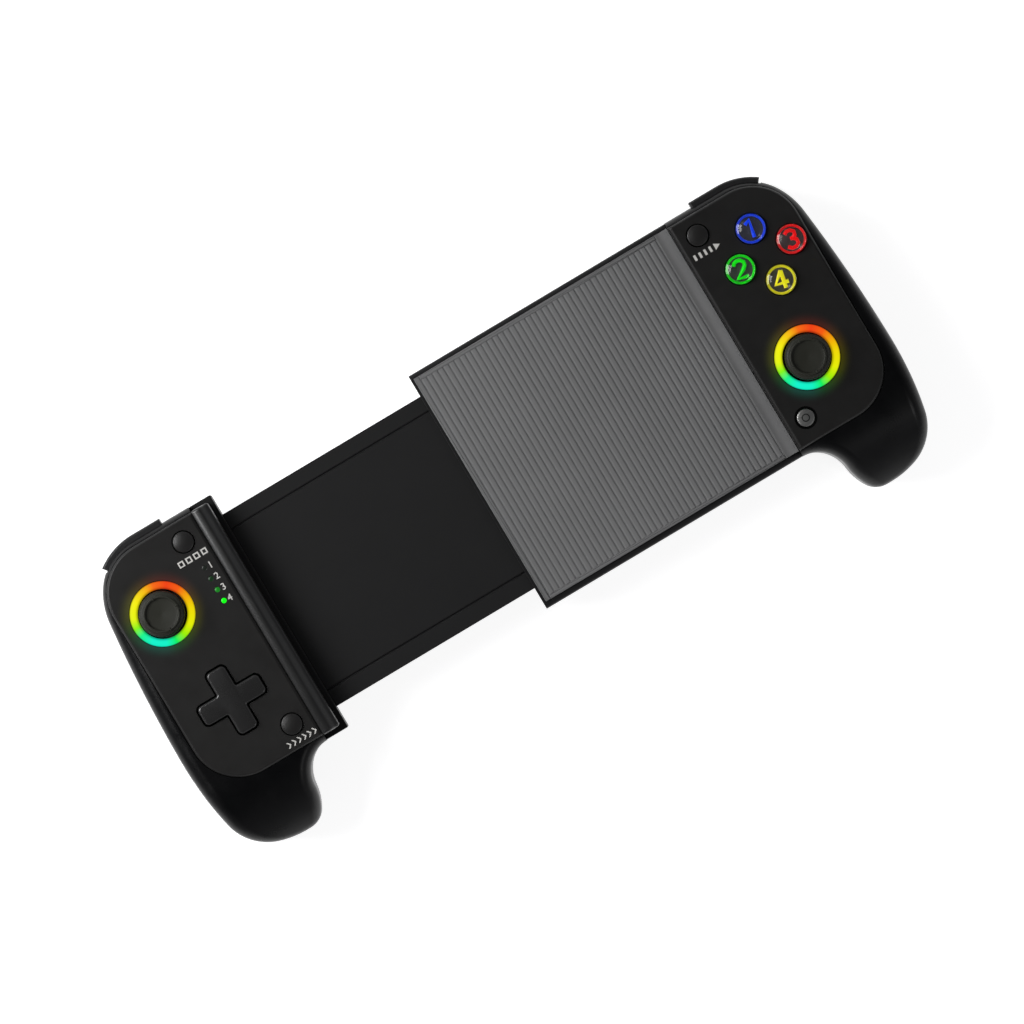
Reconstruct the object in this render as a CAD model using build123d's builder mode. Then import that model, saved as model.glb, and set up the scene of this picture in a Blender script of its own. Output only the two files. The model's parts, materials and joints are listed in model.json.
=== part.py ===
from build123d import *
import os

os.makedirs("parts", exist_ok=True)

# A phone game controller that stretches round a phone. It lies on its back, face up (+Z), with
# its length along X and the shoulder buttons towards +Y. The two hand modules are mirror forms,
# so their shared shapes are drawn once on the +X side. Millimetres.

RIGHT = 1
LEFT = -1
half_share = 0.5
quarters = 4
STAND = (Align.CENTER, Align.CENTER, Align.MIN)
HANG = (Align.CENTER, Align.CENTER, Align.MAX)
CORNER = (Align.MIN, Align.MIN, Align.MIN)

# Driving dimensions of a module, seen from above
inner_x = 83.2            # the wall that faces the phone
top_y = 50.0              # shoulder edge
low_y = -31.4             # lower edge beside the phone
outer_points = [          # ends of the tangent arcs round the hand side, from the shoulder down
    (118.0, 41.6), (121.3, 32.0), (124.15, -14.2), (121.9, -38.2), (111.3, -50.2),
    (100.6, -51.63), (95.6, -48.6), (93.2, -41.2), (90.8, -35.2)]
corner_run = 15.0         # the shoulder corner begins to turn this far before its first end
corner_start_x = outer_points[0][0] - corner_run
steep_share = 0.95        # an edge this much upright is left sharp

# Driving heights
split_z = 20.0            # seam between rear and front shell
shell_top_z = 32.6
plate_top_z = 33.0
plate_thick = 2.0
ceiling_thick = 1.6
plate_under_z = plate_top_z - plate_thick
ceiling_z = plate_under_z - ceiling_thick
edge_round = 4.4          # rounding of the face side
back_round = 6.0          # rounding of the back

# Side profile of a module
flat_low_y = -36.0        # the back rests flat between these two
flat_top_y = 22.0
shoulder_back_z = 11.0    # the back rises to this at the shoulder
side_margin = 2.5         # the side profile runs this far past the outline
side_reach_y = top_y + side_margin
lobe_start_y = -26.0      # the face starts to fall towards the grip
lobe_end_z = 19.0
heel_z = 7.0

# Face plate
plate_inner_x = 83.6
plate_outer_x = 119.2
plate_top_y = 48.2
plate_low_y = -29.4
plate_corner = 15.5
plate_inner_corner = 1.0
plate_bevel = 0.6
fit_gap = 0.15

# Inside of a module
cavity_inner_x = 86.0
cavity_outer_x = 119.2
cavity_low_y = -26.0
cavity_top_y = 45.2
cavity_corner = 15.5
well_margin = 1.5         # the rear well is this much smaller, so the board rests on its rim
well_floor_z = 3.0
battery_width = 20.0
battery_length = 44.0
battery_thick = 9.0
battery_low_x = 91.2
battery_end_gap = 0.5
well_run = 4.5            # the well runs this far past the battery, which clears its round corner
battery_low_y = cavity_low_y + well_margin + battery_end_gap
well_top_y = battery_low_y + battery_length + well_run + well_margin
board_thick = 1.2
board_gap = 0.2
board_top_z = split_z + board_thick

# Thumb sticks
left_stick = (-106.0, 26.4)
right_stick = (99.4, -6.4)
ring_outer = 9.85
ring_inner = 7.45
ring_gap = 0.1
ring_top_z = 33.2
stick_opening = 7.6
stick_centre_z = 27.0
housing_half = 8.0
housing_wall = 1.2
housing_floor_z = 24.1
housing_top_z = 28.9
carrier_half = 6.6
carrier_wall = 1.0
carrier_low_z = 25.2
carrier_top_z = 28.8
gimbal_outer = 5.0
gimbal_inner = 4.0
gimbal_half_height = 0.9
pivot_radius = 0.6
pivot_fit = 0.05
pivot_hide_share = 0.25   # the pivots end this share of the carrier's wall short of its outside
stem_radius = 2.5
stem_tip_drop = 1.2
cap_under_z = 37.0
cap_radius = 6.95
cap_dish_radius = 5.5
cap_floor_radius = 3.4
cap_thick = 2.7
cap_dish_depth = 0.9
cap_edge_round = 0.8
nub_reach = 5.75
nub_length = 1.5
nub_width = 0.56
nub_height = 0.3

# Keys
key_low_z = 26.0
key_flange = 0.8
flange_share = 1.8          # width of the square flange over the key's radius
key_flange_low_z = 29.7
key_flange_gap = 0.05
key_hole_gap = 0.25
small_key_radius = 3.2
small_key_top_z = 34.2
home_key_radius = 2.7
home_key_top_z = 33.6
key_chamfer = 0.5
key_window_gap = 0.6
dome_radius = 2.2
membrane_thick = 1.0
membrane_top_z = board_top_z + membrane_thick
select_key = (-89.6, 41.7)
turbo_key = (-89.6, -21.8)
start_key = (89.8, 41.7)
home_key = (89.7, -21.8)

# Face keys
cluster = (104.5, 26.4)
cluster_reach = 8.9
face_key_radius = 4.5
face_base_top_z = 33.2
face_cap_side = 1.2
face_cap_crown = 0.9

# Direction pad
dpad_centre = (-101.3, -6.4)
dpad_span = 21.2
dpad_arm = 6.4
dpad_corner = 1.5
dpad_bevel = 0.6
dpad_gap = 0.45
dpad_flange = 1.0
dpad_low_z = 28.4
dpad_flange_top_z = 30.0
dpad_top_z = 34.4
dpad_dish_radius = 26.0   # the shallow hollow in the middle is part of a ball
dpad_dish_depth = 0.3
dpad_window_gap = 0.7
dpad_dome_reach = 7.0
pivot_pad_width = 2.6
pivot_pad_low_z = 27.0
pivot_pad_top_z = 28.3
post_half = 1.5
post_gap = 0.1
ridge_radius = 0.8        # the pivot rocks on round ridges, one across the other
ridge_fit = 0.05

# Indicator lights
light_x = -88.1
light_ys = (31.8, 28.1, 24.3, 20.4)
light_radius = 0.8
light_sides = 8

# Shoulder button
bumper_start_x = 92.5
bumper_top_y = 51.57
bumper_turn_x = 102.0
bumper_end = (114.8, 47.35)
bumper_depth = 3.6
bumper_inner_end = (112.6, 44.6)
bumper_inner_turn_x = 100.6
bumper_low_z = 22.0
bumper_high_z = 29.8
bumper_gap = 0.25
bumper_travel = 0.7
bumper_chamfer = 0.5
bumper_clear = 1.2        # the recess is cut this far outside the button
recess_end_share = 1.6    # and its end runs past the button's by this much

# Trigger
trigger_low_x = 96.3
trigger_high_x = 114.1
trigger_side_gap = 0.3
pocket_back_y = 36.5
pocket_top_z = 19.3
trigger_pin_y = 40.5
trigger_pin_z = 16.2
trigger_pin_radius = 1.2
trigger_bore_radius = 1.26
trigger_boss_radius = 2.4
trigger_face_y = 51.2
trigger_tip_z = 3.6
trigger_tip_y = 49.6
trigger_under_y = 46.6
trigger_top_z = 18.6
trigger_inset = 0.3
trigger_under_lean = (0.3, -1)
pin_overrun = 2.4

# Bridge between the modules
sleeve_left_x = -6.3
sleeve_top_y = 50.0
sleeve_low_y = -31.4
sleeve_back_z = 10.0
sleeve_top_z = 22.8
sleeve_hollow_end_x = 78.6
sleeve_edge_round = 1.2
tray_low_y = -24.2
tray_top_y = 43.0
tray_low_z = 12.3
tray_top_z = 20.5
tray_gap = 0.2
tray_end_x = 8.0
tray_wall = 3.0
tray_deck_thick = 2.0
groove_ys = (37.8, -18.6)
groove_width = 0.7
groove_depth = 0.6
back_cover_thick = 2.1
back_cover_margin = 3.0
pad_left_x = -5.4
pad_right_x = 83.0
pad_top_y = 48.5
pad_low_y = -29.4
pad_seat_z = 22.0
pad_top_z = 23.6
rib_count = 44
rib_pitch = 1.91
rib_first_x = -3.5
rib_groove_width = 0.7
rib_groove_depth = 0.5
rib_groove_top_y = 47.1
rib_groove_low_y = -28.0
pad_slope_x = 79.4
pad_slope_rise = 3.4

# Clamp edge on the left module
lip_right_x = -75.8
lip_top_y = 50.0
lip_low_y = -31.3
clamp_pad_right_x = -77.5
clamp_pad_top_y = 48.4
clamp_pad_low_y = -29.5
clamp_pad_low_z = 22.8
clamp_pad_high_z = 31.0
clamp_pad_edge_z = 24.4
clamp_pad_flat = 1.0
clamp_pad_bevel = 0.4

# Charging socket
port_x = 72.0
port_z = 16.4
port_width = 8.94
port_height = 3.26
port_wall = 0.3
port_depth = 6.4
port_tongue_width = 6.6
port_tongue_thick = 0.7
port_tongue_depth = 4.8


def side_plane(side, x=0):
    """Plane at one x of a module, looking along the length."""
    return Plane.YZ.offset(side * x)


def module_outline():
    """The module seen from above, as a face in the current sketch."""
    with BuildSketch() as outline:
        with BuildLine():
            Line((inner_x, low_y), (inner_x, top_y))
            Line((inner_x, top_y), (corner_start_x, top_y))
            arc = TangentArc((corner_start_x, top_y), outer_points[0], tangent=(1, 0))
            for point in outer_points[1:]:
                arc = TangentArc(arc @ 1, point, tangent=arc % 1)
            TangentArc(arc @ 1, (inner_x, low_y), tangent=arc % 1)
        make_face()
    return outline.sketch


def plate_outline(grow=0):
    """The face plate seen from above, grown evenly by a gap."""
    with BuildSketch() as outline:
        with BuildLine():
            Polyline(
                (plate_inner_x - grow, plate_low_y - grow), (plate_outer_x + grow, plate_low_y - grow),
                (plate_outer_x + grow, plate_top_y + grow), (plate_inner_x - grow, plate_top_y + grow),
                close=True)
        face = make_face()
        corners = face.vertices().group_by(Axis.X)
        fillet(corners[-1], plate_corner + grow)
        fillet(corners[0], plate_inner_corner)
    return outline.sketch


def cavity_outline(shrink=0, top=cavity_top_y):
    """The hollow of a module seen from above."""
    with BuildSketch() as outline:
        with BuildLine():
            Polyline(
                (cavity_inner_x + shrink, cavity_low_y + shrink),
                (cavity_outer_x - shrink, cavity_low_y + shrink),
                (cavity_outer_x - shrink, top - shrink), (cavity_inner_x + shrink, top - shrink),
                close=True)
        face = make_face()
        fillet(face.vertices().sort_by(Axis.Y).group_by(Axis.X)[-1].sort_by(Axis.Y)[-1], cavity_corner)
    return outline.sketch


def shoulder_outline(inset, depth, end_gap=0, drop=0, end_share=1):
    """The shoulder button seen from above, between its outer curve and an inner curve."""
    with BuildSketch() as outline:
        top = bumper_top_y - inset
        inner_end = (bumper_inner_end[0] + end_gap, bumper_inner_end[1] - drop)
        end_run = (bumper_end[0] - bumper_inner_end[0], bumper_end[1] - bumper_inner_end[1])
        outer_end = (inner_end[0] + end_share * end_run[0], inner_end[1] + end_share * end_run[1])
        with BuildLine():
            Line((bumper_start_x - end_gap, top), (bumper_turn_x, top))
            outer = TangentArc((bumper_turn_x, top), outer_end, tangent=(1, 0))
            Line(outer @ 1, inner_end)
            inner = TangentArc(
                (bumper_inner_turn_x, bumper_top_y - depth - drop), inner_end, tangent=(1, 0))
            Line(inner @ 0, (bumper_start_x - end_gap, bumper_top_y - depth - drop))
            Line((bumper_start_x - end_gap, bumper_top_y - depth - drop), (bumper_start_x - end_gap, top))
        make_face()
    return outline.sketch


# Whole casing of a module: the outline pulled up, cut to the side profile and rounded
with BuildPart() as casing:
    with BuildSketch(Plane.XY):
        add(module_outline())
    extrude(amount=shell_top_z)
    with BuildSketch(Plane.YZ):
        with BuildLine():
            rest = Line((flat_low_y, 0), (flat_top_y, 0))
            rise = TangentArc(rest @ 1, (side_reach_y, shoulder_back_z), tangent=(1, 0))
            front = Line(rise @ 1, (side_reach_y, shell_top_z))
            face_line = Line(front @ 1, (lobe_start_y, shell_top_z))
            fall = TangentArc(face_line @ 1, (-side_reach_y, lobe_end_z), tangent=(-1, 0))
            heel = TangentArc(rest @ 0, (-side_reach_y, heel_z), tangent=(-1, 0))
            Line(fall @ 1, heel @ 1)
        make_face()
    extrude(amount=2 * inner_x, mode=Mode.INTERSECT)
    hand_edges = casing.edges().filter_by(lambda e: e.center().X > inner_x + edge_round / 2)
    flat_edges = hand_edges.filter_by(lambda e: abs(e.tangent_at(half_share).Z) < steep_share)
    fillet(flat_edges.filter_by(lambda e: e.center().Z > lobe_end_z), edge_round)
with BuildPart() as rounded_casing:
    add(casing.part)
    hand_edges = rounded_casing.edges().filter_by(lambda e: e.center().X > inner_x + edge_round / 2)
    low_edges = hand_edges.filter_by(lambda e: e.center().Z < shoulder_back_z)
    fillet(low_edges.filter_by(lambda e: abs(e.tangent_at(half_share).Z) < steep_share), back_round)


def rear_shell():
    """Rear half of a module on the +X side, with its well, trigger pocket and pin holes."""
    with BuildPart() as shell:
        add(rounded_casing.part)
        split(bisect_by=Plane.XY.offset(split_z), keep=Keep.BOTTOM)
        with BuildSketch(Plane.XY.offset(well_floor_z)):
            add(cavity_outline(well_margin, well_top_y))
        extrude(amount=split_z, mode=Mode.SUBTRACT)
        pocket_width = trigger_high_x - trigger_low_x + 2 * trigger_side_gap
        with BuildSketch(Plane.XY.offset(pocket_top_z)):
            with Locations(((trigger_low_x + trigger_high_x) / 2, pocket_back_y)):
                Rectangle(pocket_width, side_reach_y, align=(Align.CENTER, Align.MIN))
        extrude(amount=-pocket_top_z, mode=Mode.SUBTRACT)
        with BuildSketch(Plane.YZ.offset(trigger_low_x - pin_overrun)):
            with Locations((trigger_pin_y, trigger_pin_z)):
                Circle(trigger_pin_radius)
        extrude(amount=trigger_high_x - trigger_low_x + 2 * pin_overrun, mode=Mode.SUBTRACT)
    return shell.part


def front_shell():
    """Front half of a module on the +X side: skirt, ceiling, plate recess and shoulder recess."""
    with BuildPart() as shell:
        add(rounded_casing.part)
        split(bisect_by=Plane.XY.offset(split_z), keep=Keep.TOP)
        with BuildSketch(Plane.XY.offset(split_z)):
            add(cavity_outline())
        extrude(amount=ceiling_z - split_z, mode=Mode.SUBTRACT)
        with BuildSketch(Plane.XY.offset(plate_under_z)):
            add(plate_outline(fit_gap))
        extrude(amount=plate_thick, mode=Mode.SUBTRACT)
        with BuildSketch(Plane.XY.offset(bumper_low_z - bumper_gap)):
            add(shoulder_outline(
                -bumper_clear, bumper_depth, bumper_gap, bumper_travel + bumper_gap, recess_end_share))
        extrude(amount=bumper_high_z - bumper_low_z + 2 * bumper_gap, mode=Mode.SUBTRACT)
    return shell.part


def round_window(place, radius):
    """A round opening straight through the ceiling of a front shell."""
    with Locations((place[0], place[1], ceiling_z)):
        Cylinder(radius, ceiling_thick, align=STAND, mode=Mode.SUBTRACT)


def square_window(place, width):
    """A square opening straight through the ceiling of a front shell."""
    with Locations((place[0], place[1], ceiling_z)):
        Box(width, width, ceiling_thick, align=STAND, mode=Mode.SUBTRACT)


def key_places():
    """Centres of the four face keys: top, left, right, bottom."""
    x, y = cluster
    return [(x, y + cluster_reach), (x - cluster_reach, y), (x + cluster_reach, y), (x, y - cluster_reach)]


small_window = 2 * (small_key_radius + key_flange + key_window_gap)
rear_form = rear_shell()
front_form = front_shell()

with BuildPart() as right_rear_shell:
    add(rear_form)
right_rear_shell.part.label = "right_rear_shell"

with BuildPart() as left_rear_shell:
    add(rear_form)
    mirror(about=Plane.YZ, mode=Mode.REPLACE)
left_rear_shell.part.label = "left_rear_shell"

with BuildPart() as right_front_shell:
    add(front_form)
    round_window(right_stick, stick_opening)
    for place in (start_key, home_key):
        square_window(place, small_window)
    round_window(cluster, cluster_reach + face_key_radius + key_flange + key_window_gap / 2)
right_front_shell.part.label = "right_front_shell"

with BuildPart() as left_front_shell:
    add(front_form)
    mirror(about=Plane.YZ, mode=Mode.REPLACE)
    round_window(left_stick, stick_opening)
    for place in (select_key, turbo_key):
        square_window(place, small_window)
    dpad_window = dpad_span + 2 * (dpad_flange + dpad_window_gap)
    square_window(dpad_centre, dpad_window)
left_front_shell.part.label = "left_front_shell"


def cross_outline(grow=0):
    """The direction pad's cross round the current place, grown evenly by a gap."""
    with BuildSketch() as outline:
        span = dpad_span + 2 * grow
        arm = dpad_arm + 2 * grow
        RectangleRounded(span, arm, dpad_corner + grow)
        RectangleRounded(arm, span, dpad_corner + grow)
    return outline.sketch


# Face plates, with the openings for rings, keys and lights
with BuildPart() as right_face_plate:
    with BuildSketch(Plane.XY.offset(plate_under_z)):
        add(plate_outline())
        with Locations(right_stick):
            Circle(ring_outer + ring_gap, mode=Mode.SUBTRACT)
        with Locations(*key_places()):
            Circle(face_key_radius + key_hole_gap, mode=Mode.SUBTRACT)
        with Locations(start_key):
            Circle(small_key_radius + key_hole_gap, mode=Mode.SUBTRACT)
        with Locations(home_key):
            Circle(home_key_radius + key_hole_gap, mode=Mode.SUBTRACT)
    extrude(amount=plate_thick)
    chamfer(faces().sort_by(Axis.Z)[-1].outer_wire().edges(), plate_bevel)
right_face_plate.part.label = "right_face_plate"

with BuildPart() as left_face_plate:
    with BuildSketch(Plane.XY.offset(plate_under_z)):
        add(plate_outline())
        mirror(about=Plane.YZ, mode=Mode.REPLACE)
        with Locations(left_stick):
            Circle(ring_outer + ring_gap, mode=Mode.SUBTRACT)
        with Locations(select_key, turbo_key):
            Circle(small_key_radius + key_hole_gap, mode=Mode.SUBTRACT)
        with Locations(*[(light_x, y) for y in light_ys]):
            RegularPolygon(light_radius, light_sides, mode=Mode.SUBTRACT)
        with Locations(dpad_centre):
            add(cross_outline(dpad_gap), mode=Mode.SUBTRACT)
    extrude(amount=plate_thick)
    chamfer(faces().sort_by(Axis.Z)[-1].outer_wire().edges(), plate_bevel)
left_face_plate.part.label = "left_face_plate"

with BuildPart() as indicator_lights:
    with BuildSketch(Plane.XY.offset(plate_under_z)):
        with Locations(*[(light_x, y) for y in light_ys]):
            RegularPolygon(light_radius, light_sides)
    extrude(amount=plate_thick)
indicator_lights.part.label = "indicator_lights"


def light_ring(place):
    """Ring of light round a thumb stick, lying on the ceiling inside the plate's opening."""
    with BuildPart() as piece:
        with BuildSketch(Plane.XY.offset(plate_under_z)):
            with Locations(place):
                Circle(ring_outer)
                Circle(ring_inner, mode=Mode.SUBTRACT)
        extrude(amount=ring_top_z - plate_under_z)
    return piece.part


def stick_housing(place):
    """Open box on the board that guides the sliding carrier of a thumb stick."""
    with BuildPart() as piece:
        with BuildSketch(Plane.XY.offset(board_top_z)):
            with Locations(place):
                Rectangle(2 * housing_half, 2 * housing_half)
        extrude(amount=housing_top_z - board_top_z)
        with BuildSketch(Plane.XY.offset(housing_floor_z)):
            with Locations(place):
                Rectangle(2 * (housing_half - housing_wall), 2 * (housing_half - housing_wall))
        extrude(amount=housing_top_z - housing_floor_z, mode=Mode.SUBTRACT)
        with BuildSketch(Plane.XY.offset(board_top_z + housing_wall)):
            with Locations(place):
                Rectangle(2 * gimbal_inner, 2 * gimbal_inner)
        extrude(amount=housing_floor_z - board_top_z, mode=Mode.SUBTRACT)
    return piece.part


def stick_carrier(place):
    """Square frame that clicks down; the gimbal's pivots sit in notches of its side walls."""
    with BuildPart() as piece:
        with BuildSketch(Plane.XY.offset(carrier_low_z)):
            with Locations(place):
                Rectangle(2 * carrier_half, 2 * carrier_half)
                carrier_room = 2 * (carrier_half - carrier_wall)
                Rectangle(carrier_room, carrier_room, mode=Mode.SUBTRACT)
        extrude(amount=carrier_top_z - carrier_low_z)
        notch = 2 * (pivot_radius + pivot_fit)
        with Locations((place[0], place[1], carrier_low_z)):
            Box(
                2 * carrier_half, notch, stick_centre_z + notch / 2 - carrier_low_z,
                align=STAND, mode=Mode.SUBTRACT)
    return piece.part


def stick_gimbal(place):
    """Square ring with two pivots along X and two notches along Y for the stem's cross pin."""
    pivot_reach = carrier_half - carrier_wall * pivot_hide_share
    with BuildPart() as piece:
        with BuildSketch(Plane.YZ.offset(place[0] - pivot_reach)):
            with Locations((place[1], stick_centre_z)):
                Circle(pivot_radius)
        extrude(amount=2 * pivot_reach)
        with Locations((place[0], place[1], stick_centre_z - gimbal_half_height)):
            Box(2 * gimbal_outer, 2 * gimbal_outer, 2 * gimbal_half_height, align=STAND)
            Box(2 * gimbal_inner, 2 * gimbal_inner, 2 * gimbal_half_height, align=STAND, mode=Mode.SUBTRACT)
        notch = 2 * (pivot_radius + pivot_fit)
        with Locations((place[0], place[1], stick_centre_z - gimbal_half_height)):
            Box(
                notch, 2 * gimbal_outer, gimbal_half_height + notch / 2,
                align=STAND, mode=Mode.SUBTRACT)
    return piece.part


def stick_cap(place):
    """Stem, cross pin and dished cap with four small nubs on its rim, in one piece."""
    with BuildPart() as piece:
        x, y = place
        with BuildSketch(Plane.XY.offset(stick_centre_z - stem_tip_drop)):
            with Locations(place):
                Circle(stem_radius)
        extrude(amount=cap_under_z - stick_centre_z + stem_tip_drop)
        with BuildSketch(Plane.XZ.offset(-y - gimbal_outer)):
            with Locations((x, stick_centre_z)):
                Circle(pivot_radius)
        extrude(amount=2 * gimbal_outer)
        cap_top_z = cap_under_z + cap_thick
        with BuildSketch(Plane.XZ.offset(-y)):
            with BuildLine():
                Polyline(
                    (x, cap_under_z), (x + cap_radius - cap_edge_round, cap_under_z),
                    (x + cap_radius, cap_under_z + cap_edge_round), (x + cap_dish_radius, cap_top_z),
                    (x + cap_floor_radius, cap_top_z - cap_dish_depth), (x, cap_top_z - cap_dish_depth),
                    close=True)
            make_face()
        revolve(axis=Axis((x, y, 0), (0, 0, 1)))
        with Locations((x, y, cap_top_z - nub_height)):
            with PolarLocations(nub_reach, quarters):
                Box(nub_length, nub_width, 2 * nub_height, align=STAND)
    return piece.part


def rubber_domes(places, sheet_low, sheet_high):
    """Rubber sheet on the board, with a dome under each key."""
    with BuildPart() as piece:
        with BuildSketch(Plane.XY.offset(board_top_z)):
            with Locations(((sheet_low[0] + sheet_high[0]) / 2, (sheet_low[1] + sheet_high[1]) / 2)):
                Rectangle(sheet_high[0] - sheet_low[0], sheet_high[1] - sheet_low[1])
        extrude(amount=membrane_thick)
        with BuildSketch(Plane.XY.offset(membrane_top_z)):
            with Locations(*places):
                Rectangle(2 * dome_radius, 2 * dome_radius)
        extrude(amount=key_low_z - membrane_top_z)
    return piece.part


def round_key(place, radius, top_z):
    """A round key on a square post, with a square stop flange under the plate."""
    with BuildPart() as piece:
        with Locations((place[0], place[1], key_flange_low_z)):
            Cylinder(radius, top_z - key_flange_low_z, align=STAND)
        chamfer(piece.edges().group_by(Axis.Z)[-1], key_chamfer)
        flange = flange_share * radius
        with Locations((place[0], place[1], key_flange_low_z)):
            Box(flange, flange, plate_under_z - key_flange_gap - key_flange_low_z, align=STAND)
        with Locations((place[0], place[1], key_low_z)):
            Box(2 * dome_radius, 2 * dome_radius, key_flange_low_z - key_low_z, align=STAND)
    return piece.part


def rocking_ridge(plane, across, along, height, grow=0):
    """A round bar along the plane's normal, as long as the pivot and centred on a place."""
    with BuildPart() as piece:
        length = pivot_pad_width + 2 * grow
        with BuildSketch(plane.offset(along - length / 2)):
            with Locations((across, height)):
                Circle(ridge_radius + grow)
        extrude(amount=length)
    return piece.part


def lower_ridge(grow=0):
    """Ridge along the module's length that the direction pad's pivot rocks on."""
    return rocking_ridge(Plane.YZ, dpad_centre[1], dpad_centre[0], pivot_pad_low_z, grow)


def upper_ridge(grow=0):
    """Ridge across the module that the direction pad rocks on."""
    return rocking_ridge(Plane.XZ, dpad_centre[0], -dpad_centre[1], pivot_pad_top_z, grow)


def circuit_board(side):
    """Board resting on the rim of the rear well."""
    with BuildPart() as piece:
        with BuildSketch(Plane.XY.offset(split_z)):
            add(cavity_outline(board_gap))
            if side == LEFT:
                mirror(about=Plane.YZ, mode=Mode.REPLACE)
        extrude(amount=board_thick)
    return piece.part


with BuildPart() as right_light_ring:
    add(light_ring(right_stick))
right_light_ring.part.label = "right_light_ring"

with BuildPart() as left_light_ring:
    add(light_ring(left_stick))
left_light_ring.part.label = "left_light_ring"

with BuildPart() as right_stick_housing:
    add(stick_housing(right_stick))
right_stick_housing.part.label = "right_stick_housing"

with BuildPart() as left_stick_housing:
    add(stick_housing(left_stick))
left_stick_housing.part.label = "left_stick_housing"

with BuildPart() as right_stick_carrier:
    add(stick_carrier(right_stick))
right_stick_carrier.part.label = "right_stick_carrier"

with BuildPart() as left_stick_carrier:
    add(stick_carrier(left_stick))
left_stick_carrier.part.label = "left_stick_carrier"

with BuildPart() as right_stick_gimbal:
    add(stick_gimbal(right_stick))
right_stick_gimbal.part.label = "right_stick_gimbal"

with BuildPart() as left_stick_gimbal:
    add(stick_gimbal(left_stick))
left_stick_gimbal.part.label = "left_stick_gimbal"

with BuildPart() as right_stick_cap:
    add(stick_cap(right_stick))
right_stick_cap.part.label = "right_stick_cap"

with BuildPart() as left_stick_cap:
    add(stick_cap(left_stick))
left_stick_cap.part.label = "left_stick_cap"

with BuildPart() as right_circuit_board:
    add(circuit_board(RIGHT))
right_circuit_board.part.label = "right_circuit_board"

# The left board carries the post of the direction pad
with BuildPart() as left_circuit_board:
    add(circuit_board(LEFT))
    with BuildSketch(Plane.XY.offset(board_top_z)):
        with Locations(dpad_centre):
            Rectangle(2 * post_half, 2 * post_half)
    extrude(amount=pivot_pad_low_z - post_gap - board_top_z)
    add(lower_ridge(ridge_fit), mode=Mode.SUBTRACT)
left_circuit_board.part.label = "left_circuit_board"

# Key colours, by place in the cluster
key_names = ("blue", "green", "red", "yellow")
for name, place in zip(key_names, key_places()):
    with BuildPart() as key_base:
        add(round_key(place, face_key_radius, face_base_top_z + key_chamfer))
        split(bisect_by=Plane.XY.offset(face_base_top_z), keep=Keep.BOTTOM)
    key_base.part.label = name + "_key"
    export_step(key_base.part, "parts/" + name + "_key.step")
    with BuildPart() as key_cap:
        with BuildSketch(Plane.XZ.offset(-place[1])):
            with BuildLine():
                rim_z = face_base_top_z + face_cap_side
                Polyline(
                    (place[0], face_base_top_z), (place[0] + face_key_radius, face_base_top_z),
                    (place[0] + face_key_radius, rim_z),
                    (place[0] + face_key_radius - face_cap_crown, rim_z + face_cap_crown),
                    (place[0], rim_z + face_cap_crown), close=True)
            make_face()
        revolve(axis=Axis((place[0], place[1], 0), (0, 0, 1)))
    key_cap.part.label = name + "_key_cap"
    export_step(key_cap.part, "parts/" + name + "_key_cap.step")

with BuildPart() as start_button:
    add(round_key(start_key, small_key_radius, small_key_top_z))
start_button.part.label = "start_button"

with BuildPart() as home_button:
    add(round_key(home_key, home_key_radius, home_key_top_z))
home_button.part.label = "home_button"

with BuildPart() as select_button:
    add(round_key(select_key, small_key_radius, small_key_top_z))
select_button.part.label = "select_button"

with BuildPart() as turbo_button:
    add(round_key(turbo_key, small_key_radius, small_key_top_z))
turbo_button.part.label = "turbo_button"

with BuildPart() as dpad:
    with BuildSketch(Plane.XY.offset(dpad_low_z)):
        with Locations(dpad_centre):
            add(cross_outline())
    extrude(amount=dpad_top_z - dpad_low_z)
    chamfer(edges().group_by(Axis.Z)[-1], dpad_bevel)
    with Locations((*dpad_centre, dpad_top_z - dpad_dish_depth + dpad_dish_radius)):
        Sphere(dpad_dish_radius, mode=Mode.SUBTRACT)
    with BuildSketch(Plane.XY.offset(dpad_low_z)):
        with Locations(dpad_centre):
            Rectangle(dpad_span + 2 * dpad_flange, dpad_arm + 2 * dpad_flange)
            Rectangle(dpad_arm + 2 * dpad_flange, dpad_span + 2 * dpad_flange)
    extrude(amount=dpad_flange_top_z - dpad_low_z)
    add(upper_ridge(ridge_fit), mode=Mode.SUBTRACT)
dpad.part.label = "dpad"

with BuildPart() as dpad_pivot:
    with BuildSketch(Plane.XY.offset(pivot_pad_low_z)):
        with Locations(dpad_centre):
            Rectangle(pivot_pad_width, pivot_pad_width)
    extrude(amount=pivot_pad_top_z - pivot_pad_low_z)
    add(lower_ridge())
    add(upper_ridge())
dpad_pivot.part.label = "dpad_pivot"


def single_dome(place):
    """A small square of rubber with one dome."""
    reach = dome_radius + board_gap
    return rubber_domes([place], (place[0] - reach, place[1] - reach), (place[0] + reach, place[1] + reach))


with BuildPart() as right_membrane:
    reach = cluster_reach + face_key_radius
    low_corner = (cluster[0] - reach, cluster[1] - reach)
    high_corner = (cluster[0] + cluster_reach, cluster[1] + cluster_reach + dome_radius)
    add(rubber_domes(key_places(), low_corner, high_corner))
    for place in (start_key, home_key):
        add(single_dome(place))
right_membrane.part.label = "right_membrane"

with BuildPart() as left_membrane:
    for place in (select_key, turbo_key):
        add(single_dome(place))
    with BuildSketch(Plane.XY.offset(board_top_z)):
        with Locations(dpad_centre):
            with PolarLocations(dpad_dome_reach, quarters):
                Rectangle(2 * dome_radius, 2 * dome_radius)
    extrude(amount=dpad_low_z - board_top_z)
left_membrane.part.label = "left_membrane"


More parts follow.
